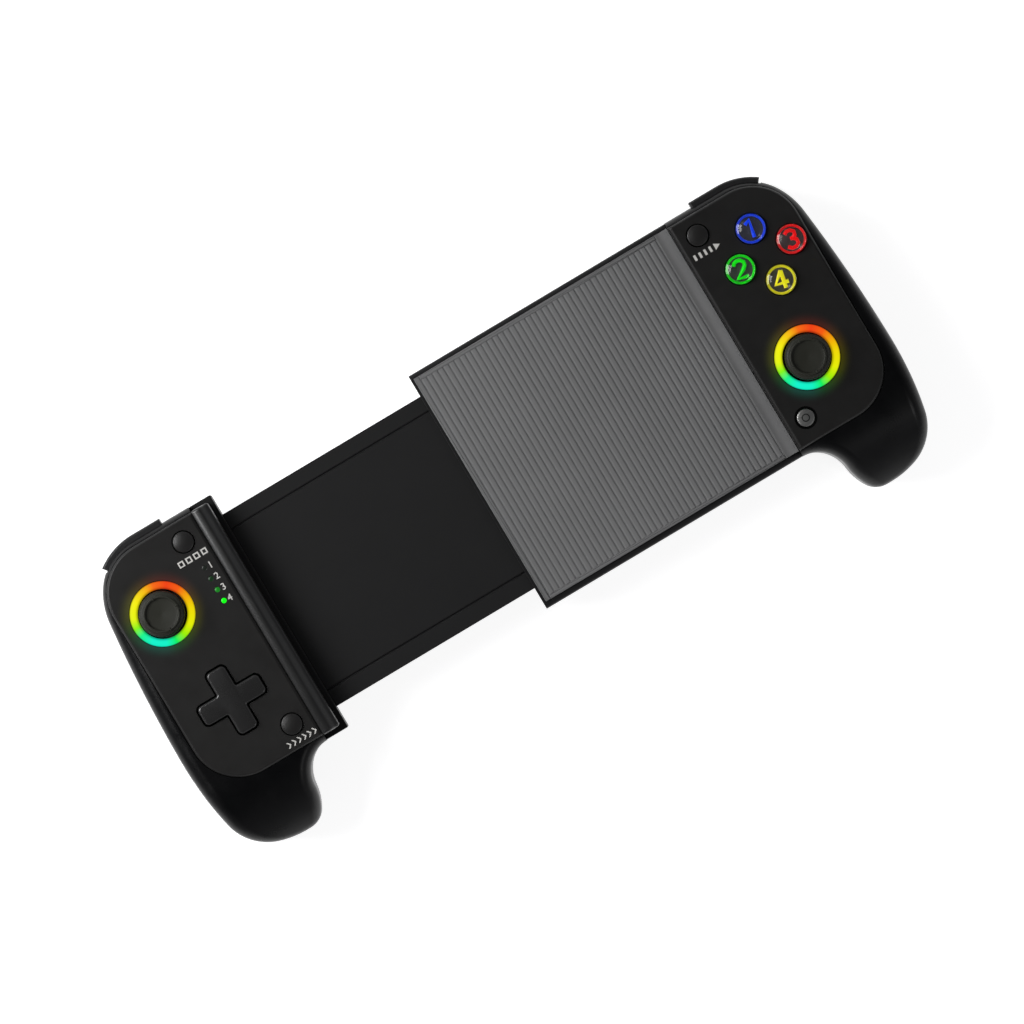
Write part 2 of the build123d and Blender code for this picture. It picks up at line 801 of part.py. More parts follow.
def shoulder_button(side):
    """Shoulder button: a curved bar that wraps the shoulder corner."""
    with BuildPart() as piece:
        with BuildSketch(Plane.XY.offset(bumper_low_z)):
            add(shoulder_outline(0, bumper_depth))
            if side == LEFT:
                mirror(about=Plane.YZ, mode=Mode.REPLACE)
        extrude(amount=bumper_high_z - bumper_low_z)
        chamfer(piece.edges().group_by(Axis.Z)[-1], bumper_chamfer)
    return piece.part


def trigger(side):
    """Trigger: a side profile round its pin, trimmed to the shoulder's curve."""
    with BuildPart() as piece:
        with BuildSketch(side_plane(side, trigger_low_x)):
            with BuildLine():
                head = Line((trigger_pin_y, trigger_top_z), (trigger_face_y - trigger_inset, trigger_top_z))
                face_middle = (trigger_face_y, (trigger_top_z + trigger_tip_z) / 2)
                face_curve = ThreePointArc(head @ 1, face_middle, (trigger_tip_y, trigger_tip_z))
                tip = Line(face_curve @ 1, (trigger_under_y, trigger_tip_z))
                under = TangentArc(
                    (trigger_pin_y - trigger_boss_radius, trigger_pin_z), tip @ 1, tangent=trigger_under_lean)
                Line(under @ 0, (trigger_pin_y - trigger_boss_radius, trigger_pin_z))
                TangentArc(under @ 0, head @ 0, tangent=(0, 1))
            make_face()
        extrude(amount=side * (trigger_high_x - trigger_low_x))
        with BuildSketch(Plane.XY):
            add(shoulder_outline(trigger_inset, bumper_depth + trigger_boss_radius))
            with Locations(((trigger_low_x + trigger_high_x) / 2, trigger_pin_y - trigger_boss_radius)):
                Rectangle(
                    trigger_high_x - trigger_low_x, bumper_top_y - bumper_depth - trigger_pin_y,
                    align=(Align.CENTER, Align.MIN))
            if side == LEFT:
                mirror(about=Plane.YZ, mode=Mode.REPLACE)
        extrude(amount=shell_top_z, mode=Mode.INTERSECT)
        with BuildSketch(side_plane(side, trigger_low_x)):
            with Locations((trigger_pin_y, trigger_pin_z)):
                Circle(trigger_bore_radius)
        extrude(amount=side * (trigger_high_x - trigger_low_x), mode=Mode.SUBTRACT)
    return piece.part


def trigger_pin(side):
    """Steel pin through the trigger, held in the walls of the rear shell."""
    with BuildPart() as piece:
        with BuildSketch(side_plane(side, trigger_low_x - pin_overrun)):
            with Locations((trigger_pin_y, trigger_pin_z)):
                Circle(trigger_pin_radius)
        extrude(amount=side * (trigger_high_x - trigger_low_x + 2 * pin_overrun))
    return piece.part


with BuildPart() as right_bumper:
    add(shoulder_button(RIGHT))
right_bumper.part.label = "right_bumper"

with BuildPart() as left_bumper:
    add(shoulder_button(LEFT))
left_bumper.part.label = "left_bumper"

with BuildPart() as right_trigger:
    add(trigger(RIGHT))
right_trigger.part.label = "right_trigger"

with BuildPart() as left_trigger:
    add(trigger(LEFT))
left_trigger.part.label = "left_trigger"

with BuildPart() as right_trigger_pin:
    add(trigger_pin(RIGHT))
right_trigger_pin.part.label = "right_trigger_pin"

with BuildPart() as left_trigger_pin:
    add(trigger_pin(LEFT))
left_trigger_pin.part.label = "left_trigger_pin"


def plan_box(low_x, high_x, low_y, high_y, low_z, high_z, mode=Mode.ADD):
    """A straight block between two corners."""
    with Locations((low_x, low_y, low_z)):
        Box(high_x - low_x, high_y - low_y, high_z - low_z, align=CORNER, mode=mode)


# Sleeve of the bridge: walls round the tray's run, open at the left and at the back
with BuildPart() as bridge_sleeve:
    plan_box(sleeve_left_x, inner_x, sleeve_low_y, sleeve_top_y, sleeve_back_z, sleeve_top_z)
    outer_edges = edges().filter_by(Axis.X).group_by(Axis.Z)
    fillet(outer_edges[-1], sleeve_edge_round)
    fillet(edges().filter_by(Axis.X).group_by(Axis.Z)[0], sleeve_edge_round)
    plan_box(
        sleeve_left_x, sleeve_hollow_end_x, tray_low_y - tray_gap, tray_top_y + tray_gap,
        sleeve_back_z, tray_top_z + tray_gap, mode=Mode.SUBTRACT)
    plan_box(
        sleeve_left_x, sleeve_hollow_end_x + back_cover_margin, tray_low_y - back_cover_margin,
        tray_top_y + back_cover_margin, sleeve_back_z, sleeve_back_z + back_cover_thick, mode=Mode.SUBTRACT)
    plan_box(
        pad_left_x, inner_x, pad_low_y, pad_top_y, pad_seat_z, sleeve_top_z, mode=Mode.SUBTRACT)
    with BuildSketch(Plane.XZ.offset(-sleeve_low_y)):
        with Locations((port_x, port_z)):
            SlotOverall(port_width, port_height)
    extrude(amount=-port_depth, mode=Mode.SUBTRACT)
bridge_sleeve.part.label = "bridge_sleeve"

with BuildPart() as sleeve_back_cover:
    plan_box(
        sleeve_left_x + tray_gap, sleeve_hollow_end_x + back_cover_margin - tray_gap,
        tray_low_y - back_cover_margin + tray_gap, tray_top_y + back_cover_margin - tray_gap,
        sleeve_back_z, sleeve_back_z + back_cover_thick)
sleeve_back_cover.part.label = "sleeve_back_cover"

# Ribbed rubber pad that the phone lies on, sloping up at the right end
with BuildPart() as ribbed_pad:
    with BuildSketch(Plane.XZ.offset(-pad_low_y)):
        with BuildLine():
            base = Line((pad_right_x, pad_seat_z), (pad_left_x, pad_seat_z))
            end = Line(base @ 1, (pad_left_x, pad_top_z))
            deck = Line(end @ 1, (pad_slope_x, pad_top_z))
            slope = TangentArc(deck @ 1, (pad_right_x, pad_top_z + pad_slope_rise), tangent=(1, 0))
            Line(slope @ 1, base @ 0)
        make_face()
    extrude(amount=-(pad_top_y - pad_low_y))
    with BuildSketch(Plane.XY.offset(pad_top_z)):
        middle_y = (rib_groove_top_y + rib_groove_low_y) / 2
        with Locations(*[(rib_first_x + rib_pitch * i, middle_y) for i in range(rib_count)]):
            Rectangle(rib_groove_width, rib_groove_top_y - rib_groove_low_y)
    extrude(amount=-rib_groove_depth, mode=Mode.SUBTRACT)
ribbed_pad.part.label = "ribbed_pad"

# Charging socket in the lower wall of the sleeve
with BuildPart() as charge_port:
    with BuildSketch(Plane.XZ.offset(-sleeve_low_y)):
        with Locations((port_x, port_z)):
            SlotOverall(port_width, port_height)
    extrude(amount=-port_depth)
    with BuildSketch(Plane.XZ.offset(-sleeve_low_y)):
        with Locations((port_x, port_z)):
            SlotOverall(port_width - 2 * port_wall, port_height - 2 * port_wall)
            Rectangle(port_tongue_width, port_tongue_thick, mode=Mode.SUBTRACT)
    extrude(amount=-port_tongue_depth, mode=Mode.SUBTRACT)
charge_port.part.label = "charge_port"

with BuildPart() as battery:
    plan_box(
        battery_low_x, battery_low_x + battery_width, battery_low_y, battery_low_y + battery_length,
        well_floor_z, well_floor_z + battery_thick)
battery.part.label = "battery"

# Sliding tray of the left module, a hollow bar that runs into the sleeve
with BuildPart() as slide_tray:
    plan_box(-inner_x, tray_end_x, tray_low_y, tray_top_y, tray_low_z, tray_top_z)
    plan_box(
        -inner_x + tray_wall, tray_end_x - tray_wall, tray_low_y + tray_wall, tray_top_y - tray_wall,
        tray_low_z + tray_deck_thick, tray_top_z - tray_deck_thick, mode=Mode.SUBTRACT)
    for y in groove_ys:
        plan_box(
            lip_right_x, tray_end_x, y - groove_width / 2, y + groove_width / 2,
            tray_top_z - groove_depth, tray_top_z, mode=Mode.SUBTRACT)
slide_tray.part.label = "slide_tray"

# Black ledge at the foot of the left module, wrapped over the tray
with BuildPart() as clamp_lip:
    plan_box(-inner_x, lip_right_x, lip_low_y, lip_top_y, sleeve_back_z, sleeve_top_z)
    plan_box(-inner_x, lip_right_x, tray_low_y, tray_top_y, sleeve_back_z, tray_top_z, mode=Mode.SUBTRACT)
clamp_lip.part.label = "clamp_lip"

# Glossy strip that bears on the phone's edge
with BuildPart() as clamp_pad:
    with BuildSketch(Plane.XZ.offset(-clamp_pad_low_y)):
        with BuildLine():
            base = Line((-inner_x, clamp_pad_low_z), (clamp_pad_right_x, clamp_pad_low_z))
            toe = Line(base @ 1, (clamp_pad_right_x, clamp_pad_edge_z))
            crown_start = (-inner_x + clamp_pad_flat, clamp_pad_high_z)
            crown = TangentArc(crown_start, toe @ 1, tangent=(1, 0))
            top = Line(crown @ 0, (-inner_x, clamp_pad_high_z))
            Line(top @ 1, base @ 0)
        make_face()
    extrude(amount=-(clamp_pad_top_y - clamp_pad_low_y))
    chamfer(edges().group_by(Axis.Y)[0] + edges().group_by(Axis.Y)[-1], clamp_pad_bevel)
clamp_pad.part.label = "clamp_pad"

for piece in (
        right_rear_shell, right_front_shell, right_face_plate, right_light_ring, right_stick_housing,
        right_stick_carrier, right_stick_gimbal, right_stick_cap, right_circuit_board, right_membrane,
        right_bumper, right_trigger, right_trigger_pin, battery, charge_port,
        start_button, home_button, bridge_sleeve, sleeve_back_cover, ribbed_pad,
        left_rear_shell, left_front_shell, left_face_plate, left_light_ring, left_stick_housing,
        left_stick_carrier, left_stick_gimbal, left_stick_cap, left_circuit_board, left_membrane,
        left_bumper, left_trigger, left_trigger_pin, indicator_lights,
        select_button, turbo_button, dpad, dpad_pivot, slide_tray, clamp_lip, clamp_pad):
    export_step(piece.part, "parts/" + piece.part.label + ".step")
    print(piece.part.label, round(piece.part.volume, 1), piece.part.is_valid)
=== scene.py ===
import json
import math
import bmesh
import bpy
from mathutils import Matrix, Vector


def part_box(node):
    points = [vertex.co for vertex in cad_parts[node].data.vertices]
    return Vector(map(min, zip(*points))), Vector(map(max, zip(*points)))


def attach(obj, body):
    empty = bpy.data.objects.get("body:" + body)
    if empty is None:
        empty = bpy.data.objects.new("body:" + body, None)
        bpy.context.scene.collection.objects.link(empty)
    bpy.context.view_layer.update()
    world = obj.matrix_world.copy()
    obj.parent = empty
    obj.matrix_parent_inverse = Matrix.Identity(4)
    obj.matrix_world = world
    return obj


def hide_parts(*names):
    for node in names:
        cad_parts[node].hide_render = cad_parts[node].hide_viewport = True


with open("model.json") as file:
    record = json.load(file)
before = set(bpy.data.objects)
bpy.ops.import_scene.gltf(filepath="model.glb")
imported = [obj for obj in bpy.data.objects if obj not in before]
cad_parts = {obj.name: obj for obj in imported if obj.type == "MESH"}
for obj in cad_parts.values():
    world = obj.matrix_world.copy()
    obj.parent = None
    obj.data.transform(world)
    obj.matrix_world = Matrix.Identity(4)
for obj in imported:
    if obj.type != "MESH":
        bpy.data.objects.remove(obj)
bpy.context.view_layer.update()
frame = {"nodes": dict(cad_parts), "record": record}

bl_info = {
    "name": "Stretching Phone Controller",
    "version": (1, 0, 0),
    "blender": (4, 5, 0),
    "location": "View3D > Sidebar > Controller",
    "description": "Dresses the packed controller with its surfaces, keys, lights and stage",
    "category": "Object",
}

MM = 0.001

# Places and bodies that the frame gives
PLATE_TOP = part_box("right_face_plate")[1][2]
RIGHT_BODY = "right_module"
LEFT_BODY = "left_module"
BODY_OF = {node: body for body, nodes in frame["record"]["behaviour"]["bodies"].items() for node in nodes}

# Points nearer than these are one point, in a made mesh and in a CAD node's loose triangles
SAME_POINT = 1e-7
SAME_CAD_POINT = 1e-6

# Face plates: how far they cover the casing's rim, and the zones that this and the gloss with its painted
# highlight reach
RIM_COVER = 0.37 * MM
RIM_ZONE = 0.75 * MM
RIM_SOFT = 0.12 * MM
GLOSS_ZONE = 0.8 * MM

# Ribbed pad
PAD_TOP = 23.6 * MM
PAD_GROOVES = 44
PAD_FIRST_GROOVE = -3.5 * MM
PAD_GROOVE_LOW = -28.0 * MM
PAD_GROOVE_HIGH = 47.1 * MM
PAD_SLOPE_START = 79.4 * MM
PAD_EDGE = 0.3 * MM

# Clamp strip: its section's crest, fall and edges, and the rounding of its ends
STRIP_CREST = 2.5 * MM
STRIP_LIFT = 0.35 * MM
STRIP_DROP = 1.5 * MM
STRIP_EDGE = 0.55 * MM
STRIP_END = 0.8 * MM

# Light rings: inner radius and height of the rounded crown
RING_INNER = 7.5 * MM
RING_CROWN = 0.5 * MM

# Thumb sticks: radii, and depths below the cap's rim
STEM_RADIUS = 2.5 * MM
STEM_FLARE = 2.0 * MM
FLARE_DEPTH = 5.15 * MM
CAP_RADIUS = 6.95 * MM
CAP_LOWER_EDGE = 0.7 * MM
CAP_LOWER_DEPTH = 2.35 * MM
CAP_SHOULDER = 1.3 * MM
CAP_RIM_RADIUS = 5.2 * MM
CAP_RIM_EDGE = 0.4 * MM
NUB_HEIGHT = 0.2 * MM
NUB_HALF_LENGTH = 0.2 * MM
NUB_HALF_WIDTH = 0.3 * MM

# Keys
GLYPH_LEAN = math.radians(-12)
GLYPH_HALF_HEIGHT = 2.55 * MM
GLYPH_STROKE = 1.12 * MM
COLLAR_WIDTH = 0.95 * MM
LENS_SIDE = 0.9 * MM
LENS_EDGE = 0.4 * MM
SMALL_KEY_RADIUS = 3.2 * MM
HOME_KEY_RADIUS = 2.7 * MM
KEYS_OVER = {
    "right": ("blue_key", "green_key", "red_key", "yellow_key", "start_button", "home_button"),
    "left": ("select_button", "turbo_button"),
}

# Colour of each face key, and its number as strokes, in shares of half its height
FACE_KEYS = {
    "blue": ((0.004, 0.055, 0.86), (((-0.48, 0.58), (0.1, 1.0), (0.1, -1.0)),)),
    "green": ((0.002, 0.80, 0.004), ((
        (-0.62, 0.52), (-0.45, 0.85), (-0.1, 1.0), (0.3, 0.95), (0.58, 0.68), (0.58, 0.3), (0.3, -0.1),
        (-0.62, -0.95), (0.66, -0.95)),)),
    "red": ((0.86, 0.002, 0.004), ((
        (-0.58, 0.68), (-0.28, 0.95), (0.15, 0.97), (0.5, 0.75), (0.5, 0.35), (0.15, 0.08), (-0.12, 0.06)),
        ((0.15, 0.08), (0.55, -0.18), (0.6, -0.6), (0.28, -0.93), (-0.2, -0.97), (-0.62, -0.7)))),
    "yellow": ((0.86, 0.80, 0.012), (
        ((0.25, -1.0), (0.25, 1.0)), ((0.25, 1.0), (-0.74, -0.38), (0.76, -0.38)))),
}

# Printed marks: place from their key or light, height of the print, and size of the numbers
MARK_PLACE = (0, -5.5 * MM)
TURBO_MARK_PLACE = (0.6 * MM, -5.1 * MM)
NUMBER_ASIDE = 2.0 * MM
PRINT_HEIGHT = 0.03 * MM
NUMBER_SIZE = 2.9 * MM
NUMBER_BOLD = 0.04 * MM

# Direction pad
CROSS_SPAN = 10.5 * MM
CROSS_ARM = 3.18 * MM
CROSS_INNER_CORNER = 0.5 * MM
CROSS_EDGE = 0.7 * MM

# Camera and framing
VIEW_TURN = 30.8
AIM_ACROSS = 0.18 * MM
AIM_DOWN = 1.05 * MM
CAMERA_HEIGHT = 2.6
FOCUS_HEIGHT = 0.030
WIDTH_SEEN = 0.3072

# Colours round the light rings, by angle from +X, anticlockwise
RING_COLOURS = (
    (-180, (0.22, 0.92, 0.01)),
    (-164, (0.01, 0.92, 0.26)),
    (-140, (0.005, 0.91, 0.62)),
    (-112, (0.005, 0.90, 0.58)),
    (-92, (0.005, 0.88, 0.11)),
    (-74, (0.30, 0.87, 0.002)),
    (-50, (0.80, 0.87, 0.002)),
    (-18, (0.88, 0.70, 0.002)),
    (2, (0.91, 0.45, 0.002)),
    (28, (0.91, 0.11, 0.005)),
    (52, (0.89, 0.055, 0.006)),
    (78, (0.93, 0.15, 0.007)),
    (98, (0.93, 0.50, 0.006)),
    (128, (0.93, 0.88, 0.005)),
    (160, (0.80, 0.92, 0.005)),
    (180, (0.22, 0.92, 0.01)),
)


# Sizes and colours a user may change

class ControllerSizes(bpy.types.PropertyGroup):
    """Sizes of the details that the dressing adds"""
    edge_bevel: bpy.props.FloatProperty(
        name="Edge bevel", description="Width of the broken edges of the moulded shells",
        default=0.25 * MM, unit="LENGTH")
    rib_pitch: bpy.props.FloatProperty(
        name="Rib pitch", description="Distance from one pad groove to the next",
        default=1.91 * MM, unit="LENGTH")
    groove_width: bpy.props.FloatProperty(
        name="Groove width", description="Width of the grooves between the pad's ribs",
        default=0.34 * MM, unit="LENGTH")
    groove_depth: bpy.props.FloatProperty(
        name="Groove depth", description="Depth of the grooves between the pad's ribs",
        default=0.24 * MM, unit="LENGTH")
    key_corner: bpy.props.FloatProperty(
        name="Direction pad corner", description="Corner radius of the direction pad's arms",
        default=1.5 * MM, unit="LENGTH")


class ControllerColours(bpy.types.PropertyGroup):
    """Colours of the controller's plastics and lights"""
    plate: bpy.props.FloatVectorProperty(
        name="Face plate", description="Satin black of the face plates",
        default=(0.0088, 0.0084, 0.0080), subtype="COLOR", size=3)
    shell: bpy.props.FloatVectorProperty(
        name="Shell", description="Soft black of the hand shells",
        default=(0.0010, 0.0011, 0.0014), subtype="COLOR", size=3)
    pad: bpy.props.FloatVectorProperty(
        name="Ribbed pad", description="Grey of the rubber pad",
        default=(0.168, 0.168, 0.169), subtype="COLOR", size=3)
    tray: bpy.props.FloatVectorProperty(
        name="Slide tray", description="Dark grey of the sliding tray",
        default=(0.0070, 0.0070, 0.0073), subtype="COLOR", size=3)
    ring_glow: bpy.props.FloatProperty(
        name="Ring glow", description="Strength of the light rings", default=1.0, min=0.0)


def node_middle(node):
    """Centre of a CAD node, seen from above."""
    low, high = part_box(node)
    return ((low[0] + high[0]) / 2, (low[1] + high[1]) / 2)


# Mesh helpers

def make_object(name, mesh, material):
    """Links a mesh to the scene as an object at the origin."""
    piece = bpy.data.objects.new(name, mesh)
    bpy.context.scene.collection.objects.link(piece)
    mesh.materials.clear()
    mesh.materials.append(material)
    return piece


def face_outwards(mesh, merge=SAME_POINT):
    """Merges points nearer than a distance, where one is given, and turns the faces outwards."""
    shape = bmesh.new()
    shape.from_mesh(mesh)
    if merge:
        bmesh.ops.remove_doubles(shape, verts=shape.verts, dist=merge)
    bmesh.ops.recalc_face_normals(shape, faces=shape.faces)
    shape.to_mesh(mesh)
    shape.free()


def stand_for(piece, node):
    """Puts a piece in a CAD node's place, on the node's body."""
    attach(piece, BODY_OF[node])
    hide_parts(node)


def smooth_by_angle(mesh, degrees):
    """Smooth shading with edges sharper than the angle kept crisp."""
    mesh.shade_smooth()
    mesh.set_sharp_from_angle(angle=math.radians(degrees))


def solid(name, points, faces, material, degrees=0, merge=SAME_POINT):
    """A closed solid with its faces outwards, and smooth where its edges are softer than an angle."""
    mesh = bpy.data.meshes.new(name)
    mesh.from_pydata(points, [], faces)
    face_outwards(mesh, merge)
    if degrees:
        smooth_by_angle(mesh, degrees)
    return make_object(name, mesh, material)


def evaluated_mesh(piece):
    """A plain mesh of an object with its modifiers or curve settings worked in."""
    graph = bpy.context.evaluated_depsgraph_get()
    graph.update()
    return bpy.data.meshes.new_from_object(piece.evaluated_get(graph))


def bake_modifiers(piece):
    """Turns the object's modifiers into plain mesh and removes them."""
    baked = evaluated_mesh(piece)
    piece.modifiers.clear()
    old = piece.data
    piece.data = baked
    baked.name = piece.name
    if old.users == 0:
        bpy.data.meshes.remove(old)
    return piece


def curve_mesh(curve):
    """A plain mesh of a curve, which is removed."""
    holder = bpy.data.objects.new(curve.name, curve)
    bpy.context.scene.collection.objects.link(holder)
    mesh = evaluated_mesh(holder)
    bpy.data.objects.remove(holder)
    bpy.data.curves.remove(curve)
    return mesh


def carve(piece, cutter):
    """Takes the cutter's shape out of the piece, and the cutter out of the scene."""
    cut = piece.modifiers.new("cut", "BOOLEAN")
    cut.operation = "DIFFERENCE"
    cut.solver = "EXACT"
    cut.object = cutter
    bake_modifiers(piece)
    shape = cutter.data
    bpy.data.objects.remove(cutter)
    bpy.data.meshes.remove(shape)


def dress(node, finish, bevel, segments=2, cutter=None):
    """A merged copy of a CAD node with broken edges and soft shading, standing for the node."""
    crease = 32
    flat = math.radians(0.1)
    mesh = frame["nodes"][node].data.copy()
    shape = bmesh.new()
    shape.from_mesh(mesh)
    bmesh.ops.remove_doubles(shape, verts=shape.verts, dist=SAME_CAD_POINT)
    bmesh.ops.dissolve_limit(shape, angle_limit=flat, verts=shape.verts, edges=shape.edges)
    shape.to_mesh(mesh)
    shape.free()
    piece = make_object(node + "_dressed", mesh, MATERIALS[finish])
    if cutter:
        carve(piece, cutter)
        piece.data.materials.clear()
        piece.data.materials.append(MATERIALS[finish])
    smooth_by_angle(piece.data, crease)
    if bevel > 0:
        rounding = piece.modifiers.new("rounding", "BEVEL")
        rounding.width = bevel
        rounding.segments = segments
        rounding.limit_method = "ANGLE"
        rounding.angle_limit = math.radians(crease)
        rounding.harden_normals = False
    weights = piece.modifiers.new("weights", "WEIGHTED_NORMAL")
    weights.keep_sharp = False
    bake_modifiers(piece)
    stand_for(piece, node)
    return piece


def lathe(name, profile, centre, material, segments=96):
    """Turns a profile of (radius, height) about a vertical axis; it closes or ends at radius 0."""
    points = []
    faces = []
    for radius, height in profile:
        for step in range(segments):
            points.append((*turned(radius, 0, 2 * math.pi * step / segments, centre), height))
    for base in range(0, len(points) - segments, segments):
        faces += side_faces(base, segments)
    return solid(name, points, faces, material, 40)


def turned(u, v, turn, place):
    """A point turned about the origin and moved to a place."""
    return (
        place[0] + u * math.cos(turn) - v * math.sin(turn),
        place[1] + u * math.sin(turn) + v * math.cos(turn))


def arc_points(centre, radius, start, end, steps):
    """Points along an arc, angles in degrees."""
    return [
        turned(radius, 0, math.radians(start + (end - start) * step / steps), centre)
        for step in range(steps + 1)]


def circle(radius, steps=32):
    """Outline of a circle about the origin, anticlockwise."""
    return arc_points((0, 0), radius, 0, 360 - 360 / steps, steps - 1)


def rounded_rectangle(low, high, radius, steps=10):
    """Outline of a rectangle with round corners, anticlockwise."""
    points = []
    left, right = low[0] + radius, high[0] - radius
    bottom, top = low[1] + radius, high[1] - radius
    for quarter, corner in enumerate(((right, top), (left, top), (left, bottom), (right, bottom))):
        points += arc_points(corner, radius, 90 * quarter, 90 * quarter + 90, steps)
    return points


def inset_outline(points, distance):
    """The outline moved inwards by a distance."""
    moved = []
    for i, point in enumerate(points):
        here = Vector(point)
        first = (here - Vector(points[i - 1])).normalized()
        second = (Vector(points[(i + 1) % len(points)]) - here).normalized()
        inward = Vector((-first.y - second.y, first.x + second.x))
        if inward.length < 1e-9:
            moved.append(tuple(here))
            continue
        inward.normalize()
        spread = max(0.35, inward.dot(Vector((-first.y, first.x))))
        moved.append(tuple(here + inward * distance / spread))
    return moved


def side_faces(first, count):
    """Faces between an outline's points and the same outline's points one level on."""
    return [
        (first + i, first + (i + 1) % count, first + count + (i + 1) % count, first + count + i)
        for i in range(count)]


def stacked(name, outline, levels, material, degrees=40, along_y=False):
    """A solid from one outline through levels of (inset, height), closed at both ends."""
    points = []
    faces = []
    count = len(outline)
    for inset, height in levels:
        for u, v in inset_outline(outline, inset):
            points.append((u, height, v) if along_y else (u, v, height))
    top = (len(levels) - 1) * count
    for base in range(0, top, count):
        faces += side_faces(base, count)
    faces.append(tuple(reversed(range(count))))
    faces.append(tuple(range(top, top + count)))
    return solid(name, points, faces, material, degrees, 0)


def edge_levels(low, high, radius, steps=5):
    """Levels of a straight side that ends in a rounded top edge."""
    rounding = arc_points((radius, high - radius), radius, 180, 90, steps)
    return [(0, low)] + rounding


# Material helpers

class Tree:
    """A node tree that short calls fill."""

    def __init__(self, tree):
        self.nodes = tree.nodes
        self.links = tree.links

    def fill(self, node, inputs):
        """Links or sets the named inputs of a node."""
        for name, value in inputs.items():
            if isinstance(value, bpy.types.NodeSocket):
                self.links.new(value, node.inputs[name])
            else:
                node.inputs[name].default_value = value

    def add(self, kind, inputs=None, **settings):
        """A new node with its settings and inputs."""
        node = self.nodes.new(kind)
        for name, value in settings.items():
            setattr(node, name, value)
        self.fill(node, inputs or {})
        return node

    def place(self):
        """The piece's own coordinates."""
        return self.add("ShaderNodeTexCoord").outputs["Object"]

    def noise(self, scale, detail=4.0, roughness=0.6):
        """Noise on the piece's own coordinates."""
        return self.add("ShaderNodeTexNoise", {
            "Vector": self.place(), "Scale": scale, "Detail": detail, "Roughness": roughness}).outputs["Fac"]

    def ramp(self, value, stops):
        """Colour read from a ramp of (place, colour) stops."""
        node = self.add("ShaderNodeValToRGB", {"Fac": value})
        elements = node.color_ramp.elements
        while len(elements) > 1:
            elements.remove(elements[-1])
        elements[0].position = stops[0][0]
        for i, (place, colour) in enumerate(stops):
            element = elements.new(place) if i else elements[0]
            element.color = (*colour, 1)
        return node.outputs["Color"]

    def spread(self, value, low, high, from_low=0.0, from_high=1.0, **settings):
        """A value's range mapped to another."""
        return self.add("ShaderNodeMapRange", {
            "Value": value, "From Min": from_low, "From Max": from_high, "To Min": low, "To Max": high},
            **settings).outputs["Result"]

    def math(self, operation, first, second):
        """A calculation with two values."""
        return self.add("ShaderNodeMath", {0: first, 1: second}, operation=operation).outputs["Value"]


def new_material(name):
    """A node material with only its output and main shader."""
    material = bpy.data.materials.new(name)
    material.use_nodes = True
    tree = Tree(material.node_tree)
    tree.nodes.clear()
    shader = tree.add("ShaderNodeBsdfPrincipled")
    tree.add("ShaderNodeOutputMaterial", {"Surface": shader.outputs["BSDF"]})
    return material, tree, shader


def grey(level):
    """A grey of three parts."""
    return (level, level, level)


def scaled(colour, share):
    """A colour made darker or lighter."""
    return tuple(part * share for part in colour)


def moulded_plastic(name, colour, rough, grain, bump, wear=0.35, coat=0.0, specular=0.3, extra=None):
    """Moulded plastic: fine spark-eroded grain, faint cloudiness and handling marks in the gloss."""
    material, tree, shader = new_material(name)
    handled = 0.12 * wear
    grit = tree.noise(grain, 2.0, 0.5)
    relief = tree.add("ShaderNodeBump", {"Height": grit, "Strength": bump, "Distance": 0.05 * MM})
    smears = tree.noise(120.0, 6.0, 0.7)
    tree.fill(shader, {
        "Base Color": tree.ramp(tree.noise(26.0), [(0.3, scaled(colour, 0.94)), (0.7, scaled(colour, 1.06))]),
        "Roughness": tree.spread(smears, max(0.05, rough - handled), min(1.0, rough + handled), 0.3, 0.7),
        "Normal": relief.outputs["Normal"],
        "Specular IOR Level": specular,
        "Coat Weight": coat,
        "Coat Roughness": 0.12})
    if extra:
        extra(tree, shader)
    return material


def ring_colour(tree, centre):
    """Colour round a ring's centre, and the distance from that centre, on Object coordinates."""
    mapping = tree.add("ShaderNodeMapping", {
        "Vector": tree.place(), "Location": (-centre[0], -centre[1], -PLATE_TOP)}).outputs["Vector"]
    turn = tree.add("ShaderNodeTexGradient", {"Vector": mapping}, gradient_type="RADIAL")
    colour = tree.ramp(turn.outputs["Fac"], [((angle + 180) / 360, part) for angle, part in RING_COLOURS])
    distance = tree.add("ShaderNodeVectorMath", {0: mapping}, operation="LENGTH")
    return colour, distance.outputs["Value"]


def ring_light(name, centre, strength):
    """Lit diffuser: the colours run round it, brighter along the middle of the band."""
    material, tree, shader = new_material(name)
    colour, distance = ring_colour(tree, centre)
    band = tree.ramp(tree.spread(distance, 0.0, 1.0, 7.4 * MM, 9.9 * MM), [
        (0.00, grey(0.30)), (0.30, grey(0.95)), (0.55, grey(1.0)), (0.85, grey(0.95)), (1.0, grey(0.45))])
    lit = tree.add(
        "ShaderNodeMix", {"Factor": 1.0, "A": colour, "B": band}, data_type="RGBA", blend_type="MULTIPLY")
    tree.fill(shader, {
        "Base Color": tree.ramp(tree.noise(900.0), [(0.3, grey(0.002)), (0.7, grey(0.004))]),
        "Emission Color": lit.outputs["Result"],
        "Emission Strength": strength,
        "Roughness": 0.5,
        "Specular IOR Level": 0.05})
    return material


def plate_satin(name, colour, centre):
    """Satin face plate with the ring's light painted on it: a soft coloured glow that fades away from the
    ring.
    """
    def painted_ring_glow(tree, shader):
        colours, distance = ring_colour(tree, centre)
        # Painted light: the ring's colours glow faintly on the plate, fading with distance from the ring.
        fade = tree.spread(
            distance, 1.0, 0.0, 9.0 * MM, 15.5 * MM, interpolation_type="SMOOTHERSTEP")
        light = tree.add(
            "ShaderNodeMix", {"Factor": tree.math("POWER", fade, 2.2), "A": (0, 0, 0, 1), "B": colours},
            data_type="RGBA")
        tree.fill(shader, {"Emission Color": light.outputs["Result"], "Emission Strength": 0.055})
    return moulded_plastic(name, colour, 0.46, 2400.0, 0.10, 0.5, extra=painted_ring_glow)


